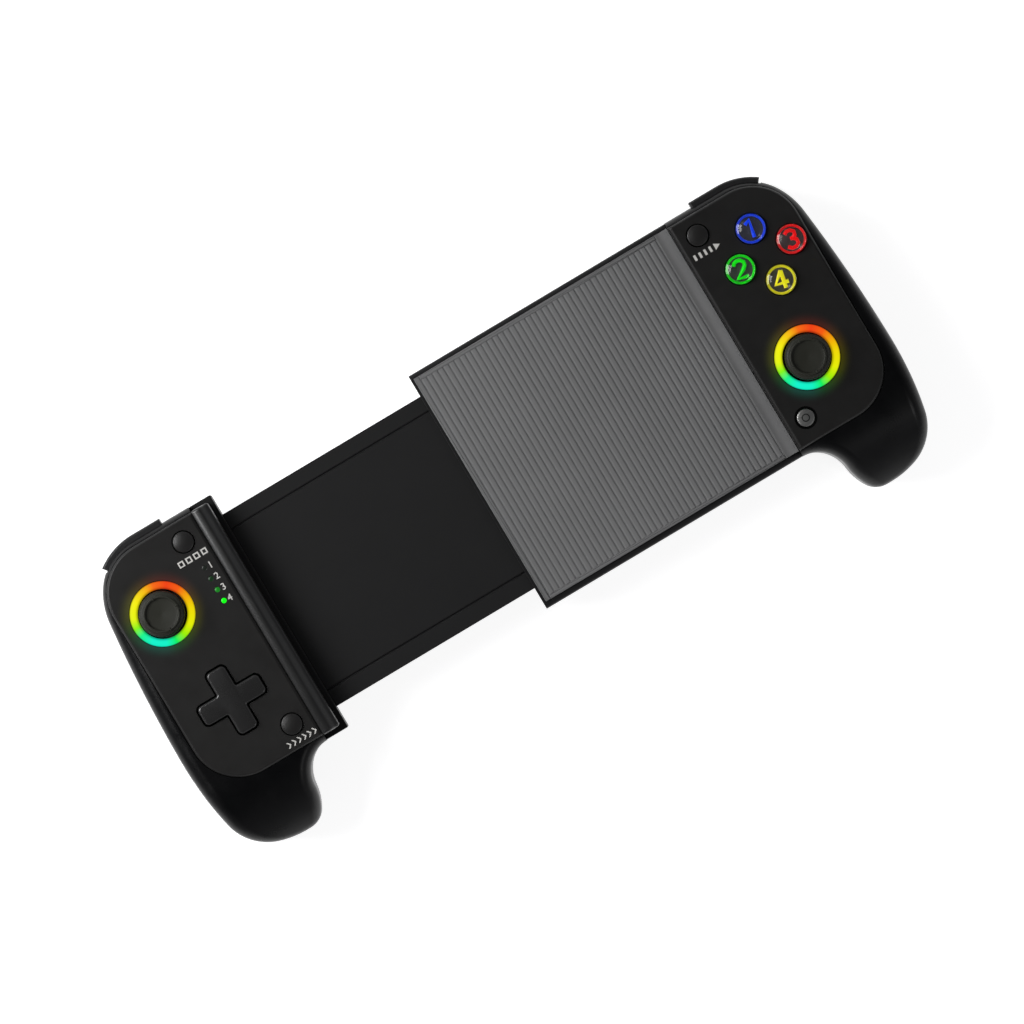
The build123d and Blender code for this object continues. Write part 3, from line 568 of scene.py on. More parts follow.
def clear_acrylic(name):
    """Clear moulded acrylic."""
    material, tree, shader = new_material(name)
    tree.fill(shader, {
        "Base Color": (1, 1, 1, 1),
        "Transmission Weight": 1.0,
        "IOR": 1.46,
        "Roughness": tree.spread(tree.noise(300.0), 0.0, 0.05)})
    return material


def lit_plastic(name, colour, strength):
    """Coloured plastic lit from behind, a little cloudy."""
    material, tree, shader = new_material(name)
    tint = tree.ramp(tree.noise(420.0), [(0.25, scaled(colour, 0.72)), (0.75, colour)])
    tree.fill(shader, {
        "Base Color": tint,
        "Emission Color": tint,
        "Emission Strength": strength,
        "Roughness": 0.3,
        "Specular IOR Level": 0.3})
    return material


def brushed_metal(name, colour, rough):
    """Metal with fine brushed streaks."""
    material, tree, shader = new_material(name)
    mapping = tree.add("ShaderNodeMapping", {"Vector": tree.place(), "Scale": (120, 4000, 4000)})
    streaks = tree.add(
        "ShaderNodeTexNoise", {"Vector": mapping.outputs["Vector"], "Scale": 1.0}).outputs["Fac"]
    tree.fill(shader, {
        "Base Color": tree.ramp(streaks, [(0.3, scaled(colour, 0.8)), (0.7, colour)]),
        "Roughness": tree.spread(streaks, rough - 0.08, rough + 0.08),
        "Metallic": 1.0})
    return material


def board_green(name):
    """Circuit board: green mask over a grid of traces."""
    material, tree, shader = new_material(name)
    traces = tree.add("ShaderNodeTexBrick", {
        "Vector": tree.place(),
        "Scale": 160.0,
        "Color1": (0.01, 0.09, 0.04, 1),
        "Color2": (0.012, 0.11, 0.05, 1),
        "Mortar": (0.03, 0.18, 0.08, 1)})
    tree.fill(shader, {"Base Color": traces.outputs["Color"], "Roughness": 0.4})
    return material


MATERIALS = {}


def make_materials(colours):
    """All the finishes of the controller, by name."""
    # Name, colour, roughness, grain, bump, wear, coat, specular level
    plastics = {
        "shell": ("hand_shell_black", tuple(colours.shell), 0.31, 2200.0, 0.08, 0.5, 0.0, 0.24),
        # Plate edges: glossier, and a little lighter than the plate, a painted highlight
        "plate_edge": ("plate_edge_gloss", (0.0100, 0.0098, 0.0096), 0.40, 2400.0, 0.04, 0.3, 0.0, 0.4),
        "sleeve": ("sleeve_black", (0.0085, 0.0085, 0.009), 0.4, 2200.0, 0.06, 0.2),
        "tray": ("tray_black", tuple(colours.tray), 0.5, 1800.0, 0.06, 0.12),
        "pad": ("pad_rubber", tuple(colours.pad), 0.62, 1500.0, 0.10, 0.6),
        # The sloped band: the pad rubber made darker, painted shade
        "pad_band": ("pad_band_rubber", scaled(colours.pad, 0.76), 0.62, 1500.0, 0.10, 0.6),
        "strip": ("clamp_gloss", grey(0.0085), 0.36, 1200.0, 0.02, 0.3, 0.25, 0.5),
        "lip": ("ledge_black", grey(0.0060), 0.42, 1800.0, 0.05),
        "key": ("key_satin", (0.0135, 0.0130, 0.0127), 0.34, 2600.0, 0.04, 0.35, 0.0, 0.4),
        "dpad": ("direction_satin", (0.0135, 0.0133, 0.0132), 0.28, 2600.0, 0.05, 0.35, 0.4, 0.5),
        "cap": ("stick_rubber", (0.0190, 0.0195, 0.0135), 0.55, 1900.0, 0.12),
        "stem": ("stem_black", grey(0.004), 0.35, 1900.0, 0.05),
        "inner": ("inner_plastic", (0.012, 0.012, 0.013), 0.5, 1500.0, 0.05),
        "bumper": ("shoulder_satin", (0.0140, 0.0140, 0.0146), 0.34, 2200.0, 0.05, 0.35, 0.0, 0.45),
        "print": ("printed_white", (0.62, 0.61, 0.58), 0.55, 900.0, 0.02),
        "membrane": ("silicone_grey", grey(0.30), 0.55, 800.0, 0.05),
        "battery": ("battery_foil", (0.35, 0.36, 0.38), 0.3, 600.0, 0.1),
        # Key wells: a mid-dark grey, painted reflection of the clear plastic over them
        "well": ("key_well_dark", (0.080, 0.080, 0.081), 0.3, 900.0, 0.03),
        # Near black without gloss: painted shadow, as on the ring round the home button
        "recess": ("recess_black", grey(0.001), 0.6, 900.0, 0.03, 0.3, 0.0, 0.05),
        "screw": ("screw_black", (0.02, 0.02, 0.021), 0.35, 900.0, 0.05, 0.5, 0.0, 0.7),
    }
    MATERIALS.clear()
    for finish, settings in plastics.items():
        MATERIALS[finish] = moulded_plastic(*settings)
    for side in ("right", "left"):
        centre = node_middle(side + "_light_ring")
        MATERIALS[side + "_plate"] = plate_satin(side + "_plate_satin", tuple(colours.plate), centre)
        MATERIALS[side + "_ring"] = ring_light(side + "_ring_light", centre, colours.ring_glow)
    MATERIALS["board"] = board_green("board_green")
    MATERIALS["steel"] = brushed_metal("socket_steel", (0.55, 0.55, 0.57), 0.32)
    MATERIALS["home"] = brushed_metal("home_metal", (0.30, 0.30, 0.29), 0.42)
    MATERIALS["clear"] = clear_acrylic("clear_acrylic")


class CONTROLLER_OT_finishes(bpy.types.Operator):
    """Makes every finish of the controller"""
    bl_idname = "controller.finishes"
    bl_label = "Finishes"

    def execute(self, context):
        make_materials(context.scene.controller_colours)
        return {"FINISHED"}


# Repeated pieces

def repeat_tree(material):
    """Geometry nodes: one item repeated along X, and the row repeated along Y."""
    group = bpy.data.node_groups.new("repeat_item", "GeometryNodeTree")
    sockets = group.interface
    sockets.new_socket("Item", in_out="INPUT", socket_type="NodeSocketGeometry")
    for axis in "XY":
        sockets.new_socket("Count " + axis, in_out="INPUT", socket_type="NodeSocketInt")
        sockets.new_socket("Pitch " + axis, in_out="INPUT", socket_type="NodeSocketFloat")
    sockets.new_socket("Geometry", in_out="OUTPUT", socket_type="NodeSocketGeometry")
    tree = Tree(group)
    source = tree.add("NodeGroupInput").outputs
    item = source["Item"]
    for axis in "XY":
        step = tree.add("ShaderNodeCombineXYZ", {axis: source["Pitch " + axis]}).outputs["Vector"]
        row = tree.add("GeometryNodeMeshLine", {"Count": source["Count " + axis], "Offset": step})
        items = tree.add("GeometryNodeInstanceOnPoints", {"Points": row.outputs["Mesh"], "Instance": item})
        item = tree.add(
            "GeometryNodeRealizeInstances", {"Geometry": items.outputs["Instances"]}).outputs["Geometry"]
    finish = tree.add("GeometryNodeSetMaterial", {"Geometry": item, "Material": material})
    tree.add("NodeGroupOutput", {"Geometry": finish.outputs["Geometry"]})
    return group


def repeated(piece, material, counts, pitches):
    """Repeats the piece's mesh in rows along X and Y."""
    modifier = piece.modifiers.new("repeat", "NODES")
    modifier.node_group = repeat_tree(material)
    sockets = {item.name: item.identifier for item in modifier.node_group.interface.items_tree}
    for axis, count, pitch in zip("XY", counts, pitches):
        modifier[sockets["Count " + axis]] = count
        modifier[sockets["Pitch " + axis]] = pitch
    return bake_modifiers(piece)


def screwed_down(node, finish, bevel, name, body, first, gaps, low, depth, recess, head):
    """Dresses a node with four round recesses below, and sinks screws with crossed slots in them."""
    def about_first(kind, outline, levels, material):
        placed = [(first[0] + x, first[1] + y) for x, y in outline]
        return stacked(name + kind, placed, levels, material)

    black = MATERIALS["recess"]
    mouth = 0.3 * MM
    levels = [(-mouth, low - mouth), (0, low + 0.25 * MM), (0, low + depth)]
    cutter = about_first("_recess", circle(recess), levels, black)
    dress(node, finish, bevel, cutter=repeated(cutter, black, (2, 2), gaps))
    metal = MATERIALS["screw"]
    face = low + depth * 0.35
    rounding = 0.35 * MM
    levels = [
        (rounding, face), (0.1 * MM, face + 0.12 * MM), (0, face + rounding), (0, low + depth + 0.3 * MM)]
    screws = about_first("_screws", circle(head), levels, metal)
    long = head * 0.62
    thin = head * 0.17
    cross = [
        turned(u, v, math.radians(90 * quarter), (0, 0))
        for quarter in range(4) for u, v in ((long, -thin), (long, thin), (thin, thin))]
    slots = about_first("_slots", cross, [(0, face - 0.2 * MM), (0, face + 0.45 * MM)], metal)
    carve(screws, slots)
    repeated(screws, metal, (2, 2), gaps)
    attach(screws, body)


# Shells and bridge

def cover_rim(plate):
    """Draws the plate's inner edge, square and straight, over the narrow rim of the casing."""
    inner = min(abs(vertex.co.x) for vertex in plate.data.vertices)
    for vertex in plate.data.vertices:
        if abs(vertex.co.x) < inner + RIM_ZONE:
            softened = RIM_SOFT if vertex.co.z > PLATE_TOP - 0.1 * MM else 0
            vertex.co.x = math.copysign(inner - RIM_COVER + softened, vertex.co.x)


def shine_edges(plate):
    """Gives the tilted faces along the plate's top edges a glossier finish, a little lighter than the plate:
    a painted highlight.
    """
    plate.data.materials.append(MATERIALS["plate_edge"])
    for face in plate.data.polygons:
        if 0.15 < face.normal.z < 0.985 and face.center.z > PLATE_TOP - GLOSS_ZONE:
            face.material_index = 1


class CONTROLLER_OT_shells(bpy.types.Operator):
    """Dresses the hand shells and the shoulder buttons and triggers"""
    bl_idname = "controller.shells"
    bl_label = "Hand shells"

    def execute(self, context):
        bevel = context.scene.controller_sizes.edge_bevel
        for side, first in (("right", (91 * MM, -22 * MM)), ("left", (-112 * MM, -22 * MM))):
            screwed_down(
                side + "_rear_shell", "shell", bevel * 0.6, side, side + "_module",
                first, (21 * MM, 42 * MM), 0, 2.0 * MM, 2.5 * MM, 2.05 * MM)
            dress(side + "_front_shell", "shell", bevel * 0.6)
            plate = dress(side + "_face_plate", side + "_plate", bevel, 3)
            cover_rim(plate)
            shine_edges(plate)
            dress(side + "_bumper", "bumper", bevel * 3.4, 5)
            dress(side + "_trigger", "bumper", bevel * 2, 3)
        return {"FINISHED"}


class CONTROLLER_OT_bridge(bpy.types.Operator):
    """Dresses the sleeve, tray, clamp ledge and clamp strip"""
    bl_idname = "controller.bridge"
    bl_label = "Bridge"

    def execute(self, context):
        bevel = context.scene.controller_sizes.edge_bevel
        dress("bridge_sleeve", "sleeve", bevel)
        screwed_down(
            "sleeve_back_cover", "sleeve", bevel, "cover", RIGHT_BODY,
            (0, -21 * MM), (75.5 * MM, 61 * MM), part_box("sleeve_back_cover")[0][2],
            1.2 * MM, 2.0 * MM, 1.6 * MM)
        dress("slide_tray", "tray", bevel * 0.6)
        dress("clamp_lip", "lip", bevel * 1.5)
        self.strip()
        dress("charge_port", "steel", bevel * 0.2)
        return {"FINISHED"}

    def strip(self):
        """The glossy clamp strip with softly rounded ends."""
        low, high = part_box("clamp_pad")
        levels = []
        for share in (1.0, 0.525, 0.2, 0.0375, 0.0):
            rise = STRIP_END * (1 - math.sqrt(1 - (1 - share) ** 2))
            levels.append((STRIP_END * share, low[1] + rise))
        levels += [(inset, low[1] + high[1] - y) for inset, y in reversed(levels)]
        strip = stacked("clamp_strip", strip_section(low, high), levels, MATERIALS["strip"], along_y=True)
        stand_for(strip, "clamp_pad")


def strip_section(low, high):
    """Cross section of the clamp strip: a quick rise by the plate, and a slow fall to the ledge."""
    crest = (low[0] + STRIP_CREST, PLATE_TOP + STRIP_LIFT)
    right = high[0] - 0.25 * MM
    edge = STRIP_EDGE
    run = right - edge - crest[0]
    points = [(low[0] + 0.02 * MM, low[2]), (right, low[2])]
    points += arc_points((right - edge, crest[1] - STRIP_DROP - edge), edge, 0, 90, 5)
    for step in range(1, 15):
        share = 1 - step / 14
        points.append((crest[0] + run * share, crest[1] - STRIP_DROP * share * share * (3 - 2 * share)))
    for step in range(1, 9):
        turn = math.radians(68 * step / 8)
        points.append((crest[0] - 2.67 * MM * math.sin(turn), crest[1] - 1.05 * MM * (1 - math.cos(turn))))
    return points


class CONTROLLER_OT_ribbed_pad(bpy.types.Operator):
    """Makes the ribbed rubber pad: a slab with a border, and ribs repeated across it"""
    bl_idname = "controller.ribbed_pad"
    bl_label = "Ribbed pad"

    def execute(self, context):
        sizes = context.scene.controller_sizes
        low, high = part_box("ribbed_pad")
        floor = PAD_TOP - sizes.groove_depth
        outline = rounded_rectangle(low, high, 1.0 * MM)
        base = stacked("pad_base", outline, [(0, low[2]), (0, floor)], MATERIALS["pad"])
        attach(base, RIGHT_BODY)
        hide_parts("ribbed_pad")
        self.ribs(sizes, floor)
        self.border(sizes, low, high, floor)
        return {"FINISHED"}

    def ribs(self, sizes, floor):
        """One rib with rounded edges, repeated from groove to groove."""
        half = (sizes.rib_pitch - sizes.groove_width) / 2
        mid = PAD_FIRST_GROOVE + sizes.rib_pitch / 2
        edge = 0.5 * MM
        drop = sizes.groove_depth - 0.04 * MM
        sunk = floor - 0.1 * MM
        section = [(mid + half, sunk)]
        for x, start in ((half - edge, 0), (-half + edge, 90)):
            for u, v in arc_points((0, 0), 1, start, start + 90, 5):
                section.append((mid + x + u * edge, PAD_TOP - drop + v * drop))
        section.append((mid - half, sunk))
        length = [(0, PAD_GROOVE_LOW), (0, PAD_GROOVE_HIGH)]
        ribs = stacked("pad_ribs", section, length, MATERIALS["pad"], along_y=True)
        repeated(ribs, MATERIALS["pad"], (PAD_GROOVES - 1, 1), (sizes.rib_pitch, 0))
        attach(ribs, RIGHT_BODY)

    def border(self, sizes, low, high, floor):
        """The plain border round the grooves, and the slope up to the right plate."""
        left_end = PAD_FIRST_GROOVE - sizes.groove_width / 2
        right_start = PAD_FIRST_GROOVE + (PAD_GROOVES - 1) * sizes.rib_pitch + sizes.groove_width / 2
        sink = floor - 0.2 * MM
        spans = (
            ("pad_left_border", (low[0], low[1]), (left_end, high[1])),
            ("pad_low_border", (left_end, low[1]), (right_start, PAD_GROOVE_LOW)),
            ("pad_top_border", (left_end, PAD_GROOVE_HIGH), (right_start, high[1])),
        )
        for name, corner_low, corner_high in spans:
            outline = rounded_rectangle(corner_low, corner_high, 0.15 * MM, 2)
            piece = stacked(name, outline, edge_levels(sink, PAD_TOP, PAD_EDGE, 4), MATERIALS["pad"])
            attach(piece, RIGHT_BODY)
        rise = high[2] - PAD_TOP
        run = high[0] - PAD_SLOPE_START
        bend = (run * run + rise * rise) / (2 * rise)
        sweep = math.degrees(math.asin(run / bend))
        section = [(high[0], sink), (right_start, sink)]
        section += arc_points((right_start + PAD_EDGE, PAD_TOP - PAD_EDGE), PAD_EDGE, 180, 90, 4)
        section += arc_points((PAD_SLOPE_START, PAD_TOP + bend), bend, -90, -90 + sweep, 14)
        width = [(0, low[1]), (0, high[1])]
        # The slope takes the darker copy of the pad rubber: painted shade.
        slope = stacked("pad_slope", section, width, MATERIALS["pad_band"], along_y=True)
        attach(slope, RIGHT_BODY)


# Lights, sticks and keys

class CONTROLLER_OT_light_rings(bpy.types.Operator):
    """Makes the two light rings with rounded diffusers"""
    bl_idname = "controller.light_rings"
    bl_label = "Light rings"

    def execute(self, context):
        for side in ("right", "left"):
            low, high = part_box(side + "_light_ring")
            outer = (high[0] - low[0]) / 2
            mid = (RING_INNER + outer) / 2
            half = (outer - RING_INNER) / 2
            shoulder = high[2] - RING_CROWN
            profile = [(RING_INNER, low[2]), (RING_INNER, shoulder)]
            for step in range(1, 12):
                turn = math.pi * (1 - step / 12)
                profile.append((mid + half * math.cos(turn), shoulder + RING_CROWN * math.sin(turn)))
            profile += [(outer, shoulder), (outer, low[2]), (RING_INNER, low[2])]
            centre = node_middle(side + "_light_ring")
            ring = lathe(side + "_ring_diffuser", profile, centre, MATERIALS[side + "_ring"], 128)
            stand_for(ring, side + "_light_ring")
        return {"FINISHED"}


def stick_profile(foot, top):
    """Half section of stem and cap, from the stem's foot to the middle of the dish."""
    corner = CAP_RADIUS - CAP_LOWER_EDGE
    profile = [(0, foot), (STEM_RADIUS, foot)]
    profile += arc_points((STEM_RADIUS + STEM_FLARE, top - FLARE_DEPTH), STEM_FLARE, 180, 90, 8)
    profile += arc_points((corner, top - CAP_LOWER_DEPTH), CAP_LOWER_EDGE, -90, 0, 6)
    for step in range(1, 9):
        turn = math.radians(90 * (1 - step / 8) * 0.94)
        profile.append((
            CAP_RADIUS - CAP_SHOULDER * (1 - math.sin(turn)), top - 2.5 * MM + 1.95 * MM * math.cos(turn)))
    profile += arc_points((CAP_RIM_RADIUS, top - CAP_RIM_EDGE), CAP_RIM_EDGE, 15, 153, 6)
    profile.append((4.8 * MM, top - 0.72 * MM))
    for step in range(8):
        share = step / 7
        profile.append((4.6 * MM * (1 - share), top - 0.78 * MM - 0.4 * MM * share))
    return profile


class CONTROLLER_OT_thumb_sticks(bpy.types.Operator):
    """Makes the thumb sticks: dished caps with a raised rim, four nubs, and the stem below"""
    bl_idname = "controller.thumb_sticks"
    bl_label = "Thumb sticks"

    def execute(self, context):
        nub = arc_points((NUB_HALF_LENGTH, 0), NUB_HALF_WIDTH, -90, 90, 5)
        nub += arc_points((-NUB_HALF_LENGTH, 0), NUB_HALF_WIDTH, 90, 270, 5)
        for side in ("right", "left"):
            node = side + "_stick_cap"
            low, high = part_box(node)
            centre = node_middle(node)
            top = high[2] - NUB_HEIGHT
            profile = stick_profile(low[2] + 0.6 * MM, top)
            cap = lathe(side + "_thumb_cap", profile, centre, MATERIALS["cap"], 128)
            stand_for(cap, node)
            levels = edge_levels(top - 1.2 * MM, high[2], 0.25 * MM, 3)
            for quarter in range(4):
                turn = math.radians(90 * quarter)
                outline = [turned(CAP_RIM_RADIUS + u, v, turn, centre) for u, v in nub]
                piece = stacked(f"{side}_thumb_nub_{quarter}", outline, levels, MATERIALS["cap"])
                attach(piece, BODY_OF[node])
        return {"FINISHED"}


def stroked(name, strokes, place, height, material):
    """A number drawn with round strokes, about a place."""
    curve = bpy.data.curves.new(name, "CURVE")
    curve.dimensions = "3D"
    curve.bevel_depth = GLYPH_STROKE / 2
    curve.bevel_resolution = 3
    curve.use_fill_caps = True
    for stroke in strokes:
        spline = curve.splines.new("POLY")
        spline.points.add(len(stroke) - 1)
        for point, (u, v) in zip(spline.points, stroke):
            spot = turned(u * GLYPH_HALF_HEIGHT, v * GLYPH_HALF_HEIGHT, GLYPH_LEAN, place)
            point.co = (*spot, height, 1)
    mesh = curve_mesh(curve)
    face_outwards(mesh)
    smooth_by_angle(mesh, 50)
    return make_object(name, mesh, material)


def printed_number(name, body, place):
    """A number printed on the plate, centred on a place."""
    curve = bpy.data.curves.new(name, "FONT")
    curve.body = body
    curve.size = NUMBER_SIZE
    curve.extrude = PRINT_HEIGHT / 2
    curve.offset = NUMBER_BOLD
    mesh = curve_mesh(curve)
    spots = [vertex.co for vertex in mesh.vertices]
    mid_x = (min(s.x for s in spots) + max(s.x for s in spots)) / 2
    mid_y = (min(s.y for s in spots) + max(s.y for s in spots)) / 2
    lift = PLATE_TOP + 0.005 * MM + PRINT_HEIGHT / 2
    mesh.transform(Matrix.Translation((place[0] - mid_x, place[1] - mid_y, lift)))
    return make_object(name, mesh, MATERIALS["print"])


class CONTROLLER_OT_face_keys(bpy.types.Operator):
    """Makes the four face keys: lit collar, a well painted grey as the clear plastic's reflection, number and
    clear dome
    """
    bl_idname = "controller.face_keys"
    bl_label = "Face keys"

    def execute(self, context):
        for colour_name, (colour, strokes) in FACE_KEYS.items():
            node = colour_name + "_key"
            cap_node = colour_name + "_key_cap"
            low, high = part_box(cap_node)
            centre = node_middle(cap_node)
            radius = (high[0] - low[0]) / 2
            seat = low[2]
            glow = lit_plastic(colour_name + "_key_glow", colour, 0.58)
            rim = lit_plastic(colour_name + "_key_rim", colour, 0.36)
            # The key's body under the dome takes the grey well finish: painted reflection.
            paint(node, "well")
            inner = radius - COLLAR_WIDTH
            outer = radius - 0.01 * MM
            profile = [
                (inner, seat), (inner, seat + 0.2 * MM), (radius - 0.7 * MM, seat + 0.5 * MM),
                (radius - 0.2 * MM, seat + 0.75 * MM), (outer, seat + 0.55 * MM), (outer, seat),
                (inner, seat)]
            collar = lathe(colour_name + "_key_collar", profile, centre, rim)
            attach(collar, BODY_OF[node])
            mark = stroked(colour_name + "_key_number", strokes, centre, seat + 0.1 * MM, glow)
            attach(mark, BODY_OF[node])
            profile = lens_profile(radius, seat, high[2])
            lens = lathe(colour_name + "_key_lens", profile, centre, MATERIALS["clear"])
            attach(lens, BODY_OF[node])
            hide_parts(cap_node)
        return {"FINISHED"}


def lens_profile(radius, seat, top):
    """Half section of a clear key: an upright side, a soft edge and a domed top."""
    rise = top - seat - LENS_SIDE
    dome = (radius ** 2 + rise ** 2) / (2 * rise)
    reach = math.asin(radius / dome)
    soft = LENS_EDGE
    profile = [(0, seat + 0.8 * MM), (radius, seat + 0.8 * MM)]
    profile += arc_points(
        (radius - soft, seat + LENS_SIDE - 0.05 * MM), soft, 0, 90 - math.degrees(reach), 4)
    for step in range(1, 13):
        turn = reach * (1 - step / 12) * (radius - 2 * soft) / radius
        profile.append((dome * math.sin(turn), top - dome * (1 - math.cos(turn))))
    return profile


def domed_key(node, finish, radius, crown):
    """A round key with a softly domed top, standing for its CAD node."""
    low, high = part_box(node)
    edge = 0.45 * MM
    flat = radius - edge
    profile = [(0, low[2]), (radius, low[2])]
    profile += arc_points((flat, high[2] - edge - crown), edge, 0, 90, 5)
    for step in range(1, 9):
        share = 1 - step / 8
        profile.append((flat * share, high[2] - crown * share * share))
    key = lathe(node + "_dome", profile, node_middle(node), MATERIALS[finish])
    stand_for(key, node)


class CONTROLLER_OT_small_keys(bpy.types.Operator):
    """Makes the start, select, turbo and home buttons"""
    bl_idname = "controller.small_keys"
    bl_label = "Small keys"

    def execute(self, context):
        for node in ("start_button", "select_button", "turbo_button"):
            domed_key(node, "key", SMALL_KEY_RADIUS, 0.35 * MM)
        domed_key("home_button", "home", HOME_KEY_RADIUS, 0.15 * MM)
        self.ring("home_button_mark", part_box("home_button")[1][2], "lip", BODY_OF["home_button"], 64, (
            (0.9, -0.3), (0.9, -0.02), (1.25, -0.03), (1.25, -0.3)))
        # A near-black, glossless ring round the home button: painted shadow of the gap about the key.
        self.ring("home_button_shadow_ring", PLATE_TOP, "recess", RIGHT_BODY, 96, (
            (2.95, -0.5), (2.95, 0.02), (3.05, 0.08), (3.45, 0.03), (3.5, -0.5)))
        return {"FINISHED"}

    def ring(self, name, top, finish, body, segments, section):
        """A thin ring about the home button; its section is (radius, height over top) in millimetres."""
        profile = [(radius * MM, top + height * MM) for radius, height in section + section[:1]]
        piece = lathe(name, profile, node_middle("home_button"), MATERIALS[finish], segments)
        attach(piece, body)


# Printed marks, direction pad and charge lights

def flat_mark(name, outlines, key, aside, body):
    """A printed mark of plain shapes, each a few points in millimetres about a place beside a key."""
    x, y = node_middle(key)
    points = []
    faces = []
    for outline in outlines:
        count = len(outline)
        first = len(points)
        for height in (PLATE_TOP + 0.002 * MM, PLATE_TOP + PRINT_HEIGHT):
            points += [(x + aside[0] + u * MM, y + aside[1] + v * MM, height) for u, v in outline]
        faces += side_faces(first, count)
        faces.append(tuple(reversed(range(first, first + count))))
        faces.append(tuple(range(first + count, first + 2 * count)))
    mark = solid(name, points, faces, MATERIALS["print"])
    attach(mark, body)


def bar(low_u, low_v, high_u, high_v):
    """Corners of an upright bar, in millimetres."""
    return [(low_u, low_v), (high_u, low_v), (high_u, high_v), (low_u, high_v)]


def square_frame(u):
    """Four bars round an open square, in millimetres."""
    half = 0.95
    line = 0.42
    side = 1.85
    return [
        bar(u, -half, u + side, line - half), bar(u, half - line, u + side, half),
        bar(u, line - half, u + line, half - line), bar(u + side - line, line - half, u + side, half - line)]


def chevron(u):
    """Corners of one arrowhead, in millimetres."""
    return [(u, -0.95), (u + 0.5, -0.95), (u + 1.3, 0), (u + 0.5, 0.95), (u, 0.95), (u + 0.8, 0)]


class CONTROLLER_OT_key_marks(bpy.types.Operator):
    """Prints plain marks beside the start, select and turbo buttons"""
    bl_idname = "controller.key_marks"
    bl_label = "Key marks"

    def execute(self, context):
        bar_pitch = 1.75
        square_pitch = 2.65
        bars = [bar(-4.4 + bar_pitch * i, -0.9, -3.65 + bar_pitch * i, 0.9) for i in range(4)]
        arrow = [(2.6, -1.05), (4.5, 0), (2.6, 1.05)]
        flat_mark("start_mark", bars + [arrow], "start_button", MARK_PLACE, RIGHT_BODY)
        squares = [side for i in range(4) for side in square_frame(-4.9 + square_pitch * i)]
        flat_mark("select_mark", squares, "select_button", MARK_PLACE, LEFT_BODY)
        chevrons = [chevron(-5.1 + bar_pitch * i) for i in range(6)]
        flat_mark("turbo_mark", chevrons, "turbo_button", TURBO_MARK_PLACE, LEFT_BODY)
        return {"FINISHED"}


class CONTROLLER_OT_direction_pad(bpy.types.Operator):
    """Makes the direction pad: a cross with rounded arms and softened edges"""
    bl_idname = "controller.direction_pad"
    bl_label = "Direction pad"

    def execute(self, context):
        low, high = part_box("dpad")
        corner = context.scene.controller_sizes.key_corner
        end = CROSS_SPAN - corner
        side = CROSS_ARM - corner
        notch = CROSS_ARM + CROSS_INNER_CORNER
        arm = arc_points((end, -side), corner, -90, 0, 6) + arc_points((end, side), corner, 0, 90, 6)
        arm += arc_points((notch, notch), CROSS_INNER_CORNER, 270, 180, 4)
        outline = [
            turned(u, v, math.radians(90 * quarter), node_middle("dpad"))
            for quarter in range(4) for u, v in arm]
        levels = edge_levels(low[2] + 1.6 * MM, high[2], CROSS_EDGE, 6)
        cross = stacked("direction_cross", outline, levels, MATERIALS["dpad"], 50)
        stand_for(cross, "dpad")
        return {"FINISHED"}


class CONTROLLER_OT_indicator_lights(bpy.types.Operator):
    """Makes the four charge lights, unlit to bright, and the numbers beside them"""
    bl_idname = "controller.indicator_lights"
    bl_label = "Indicator lights"

    def execute(self, context):
        low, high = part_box("indicator_lights")
        x = (low[0] + high[0]) / 2
        radius = (high[0] - low[0]) / 2
        pitch = (high[1] - low[1] - 2 * radius) / 3
        crown = 0.15 * MM
        profile = [(0, low[2]), (radius, low[2]), (radius, high[2])]
        for turn in (math.radians(30), math.radians(60)):
            profile.append((radius * math.cos(turn), high[2] + crown * math.sin(turn)))
        profile.append((0, high[2] + crown))
        lights = (
            # The first light is unlit; its faint glow is painted sheen on its lens.
            ("1", (0.012, 0.016, 0.012), 0.2), ("2", (0.008, 0.035, 0.010), 0.35),
            ("3", (0.006, 0.16, 0.010), 0.7), ("4", (0.002, 0.80, 0.004), 1.0))
        for i, (number, colour, strength) in enumerate(lights):
            y = high[1] - radius - i * pitch
            glow = lit_plastic("charge_light_" + number, colour, strength)
            light = lathe("charge_light_" + number, profile, (x, y), glow, 32)
            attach(light, LEFT_BODY)
            if i == 0:
                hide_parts("indicator_lights")
            mark = printed_number("charge_number_" + number, number, (x + NUMBER_ASIDE, y))
            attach(mark, LEFT_BODY)
        return {"FINISHED"}


# Inner parts

def paint(node, finish):
    """Gives a CAD node that keeps its own mesh a better finish."""
    mesh = frame["nodes"][node].data
    if len(mesh.materials) == 0:
        mesh.materials.append(MATERIALS[finish])
    for i in range(len(mesh.materials)):
        mesh.materials[i] = MATERIALS[finish]


def lowered_membrane(side):
    """The rubber membrane, with the domes under the keys low enough to leave the keys their travel."""
    node = side + "_membrane"
    membrane = dress(node, "membrane", 0)
    centres = [node_middle(key) for key in KEYS_OVER[side]]
    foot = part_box(node)[0][2] + 1.2 * MM
    reach = 4.6 * MM
    kept = 0.6
    for vertex in membrane.data.vertices:
        apart = min(math.dist((vertex.co.x, vertex.co.y), centre) for centre in centres)
        if apart < reach and vertex.co.z > foot:
            vertex.co.z = foot + (vertex.co.z - foot) * kept


class CONTROLLER_OT_inner_parts(bpy.types.Operator):
    """Finishes the parts inside the housings"""
    bl_idname = "controller.inner_parts"
    bl_label = "Inner parts"

    def execute(self, context):
        for side in ("right", "left"):
            paint(side + "_stick_housing", "inner")
            paint(side + "_stick_carrier", "stem")
            paint(side + "_stick_gimbal", "stem")
            paint(side + "_circuit_board", "board")
            lowered_membrane(side)
            paint(side + "_trigger_pin", "steel")
        paint("dpad_pivot", "inner")
        paint("battery", "battery")
        return {"FINISHED"}


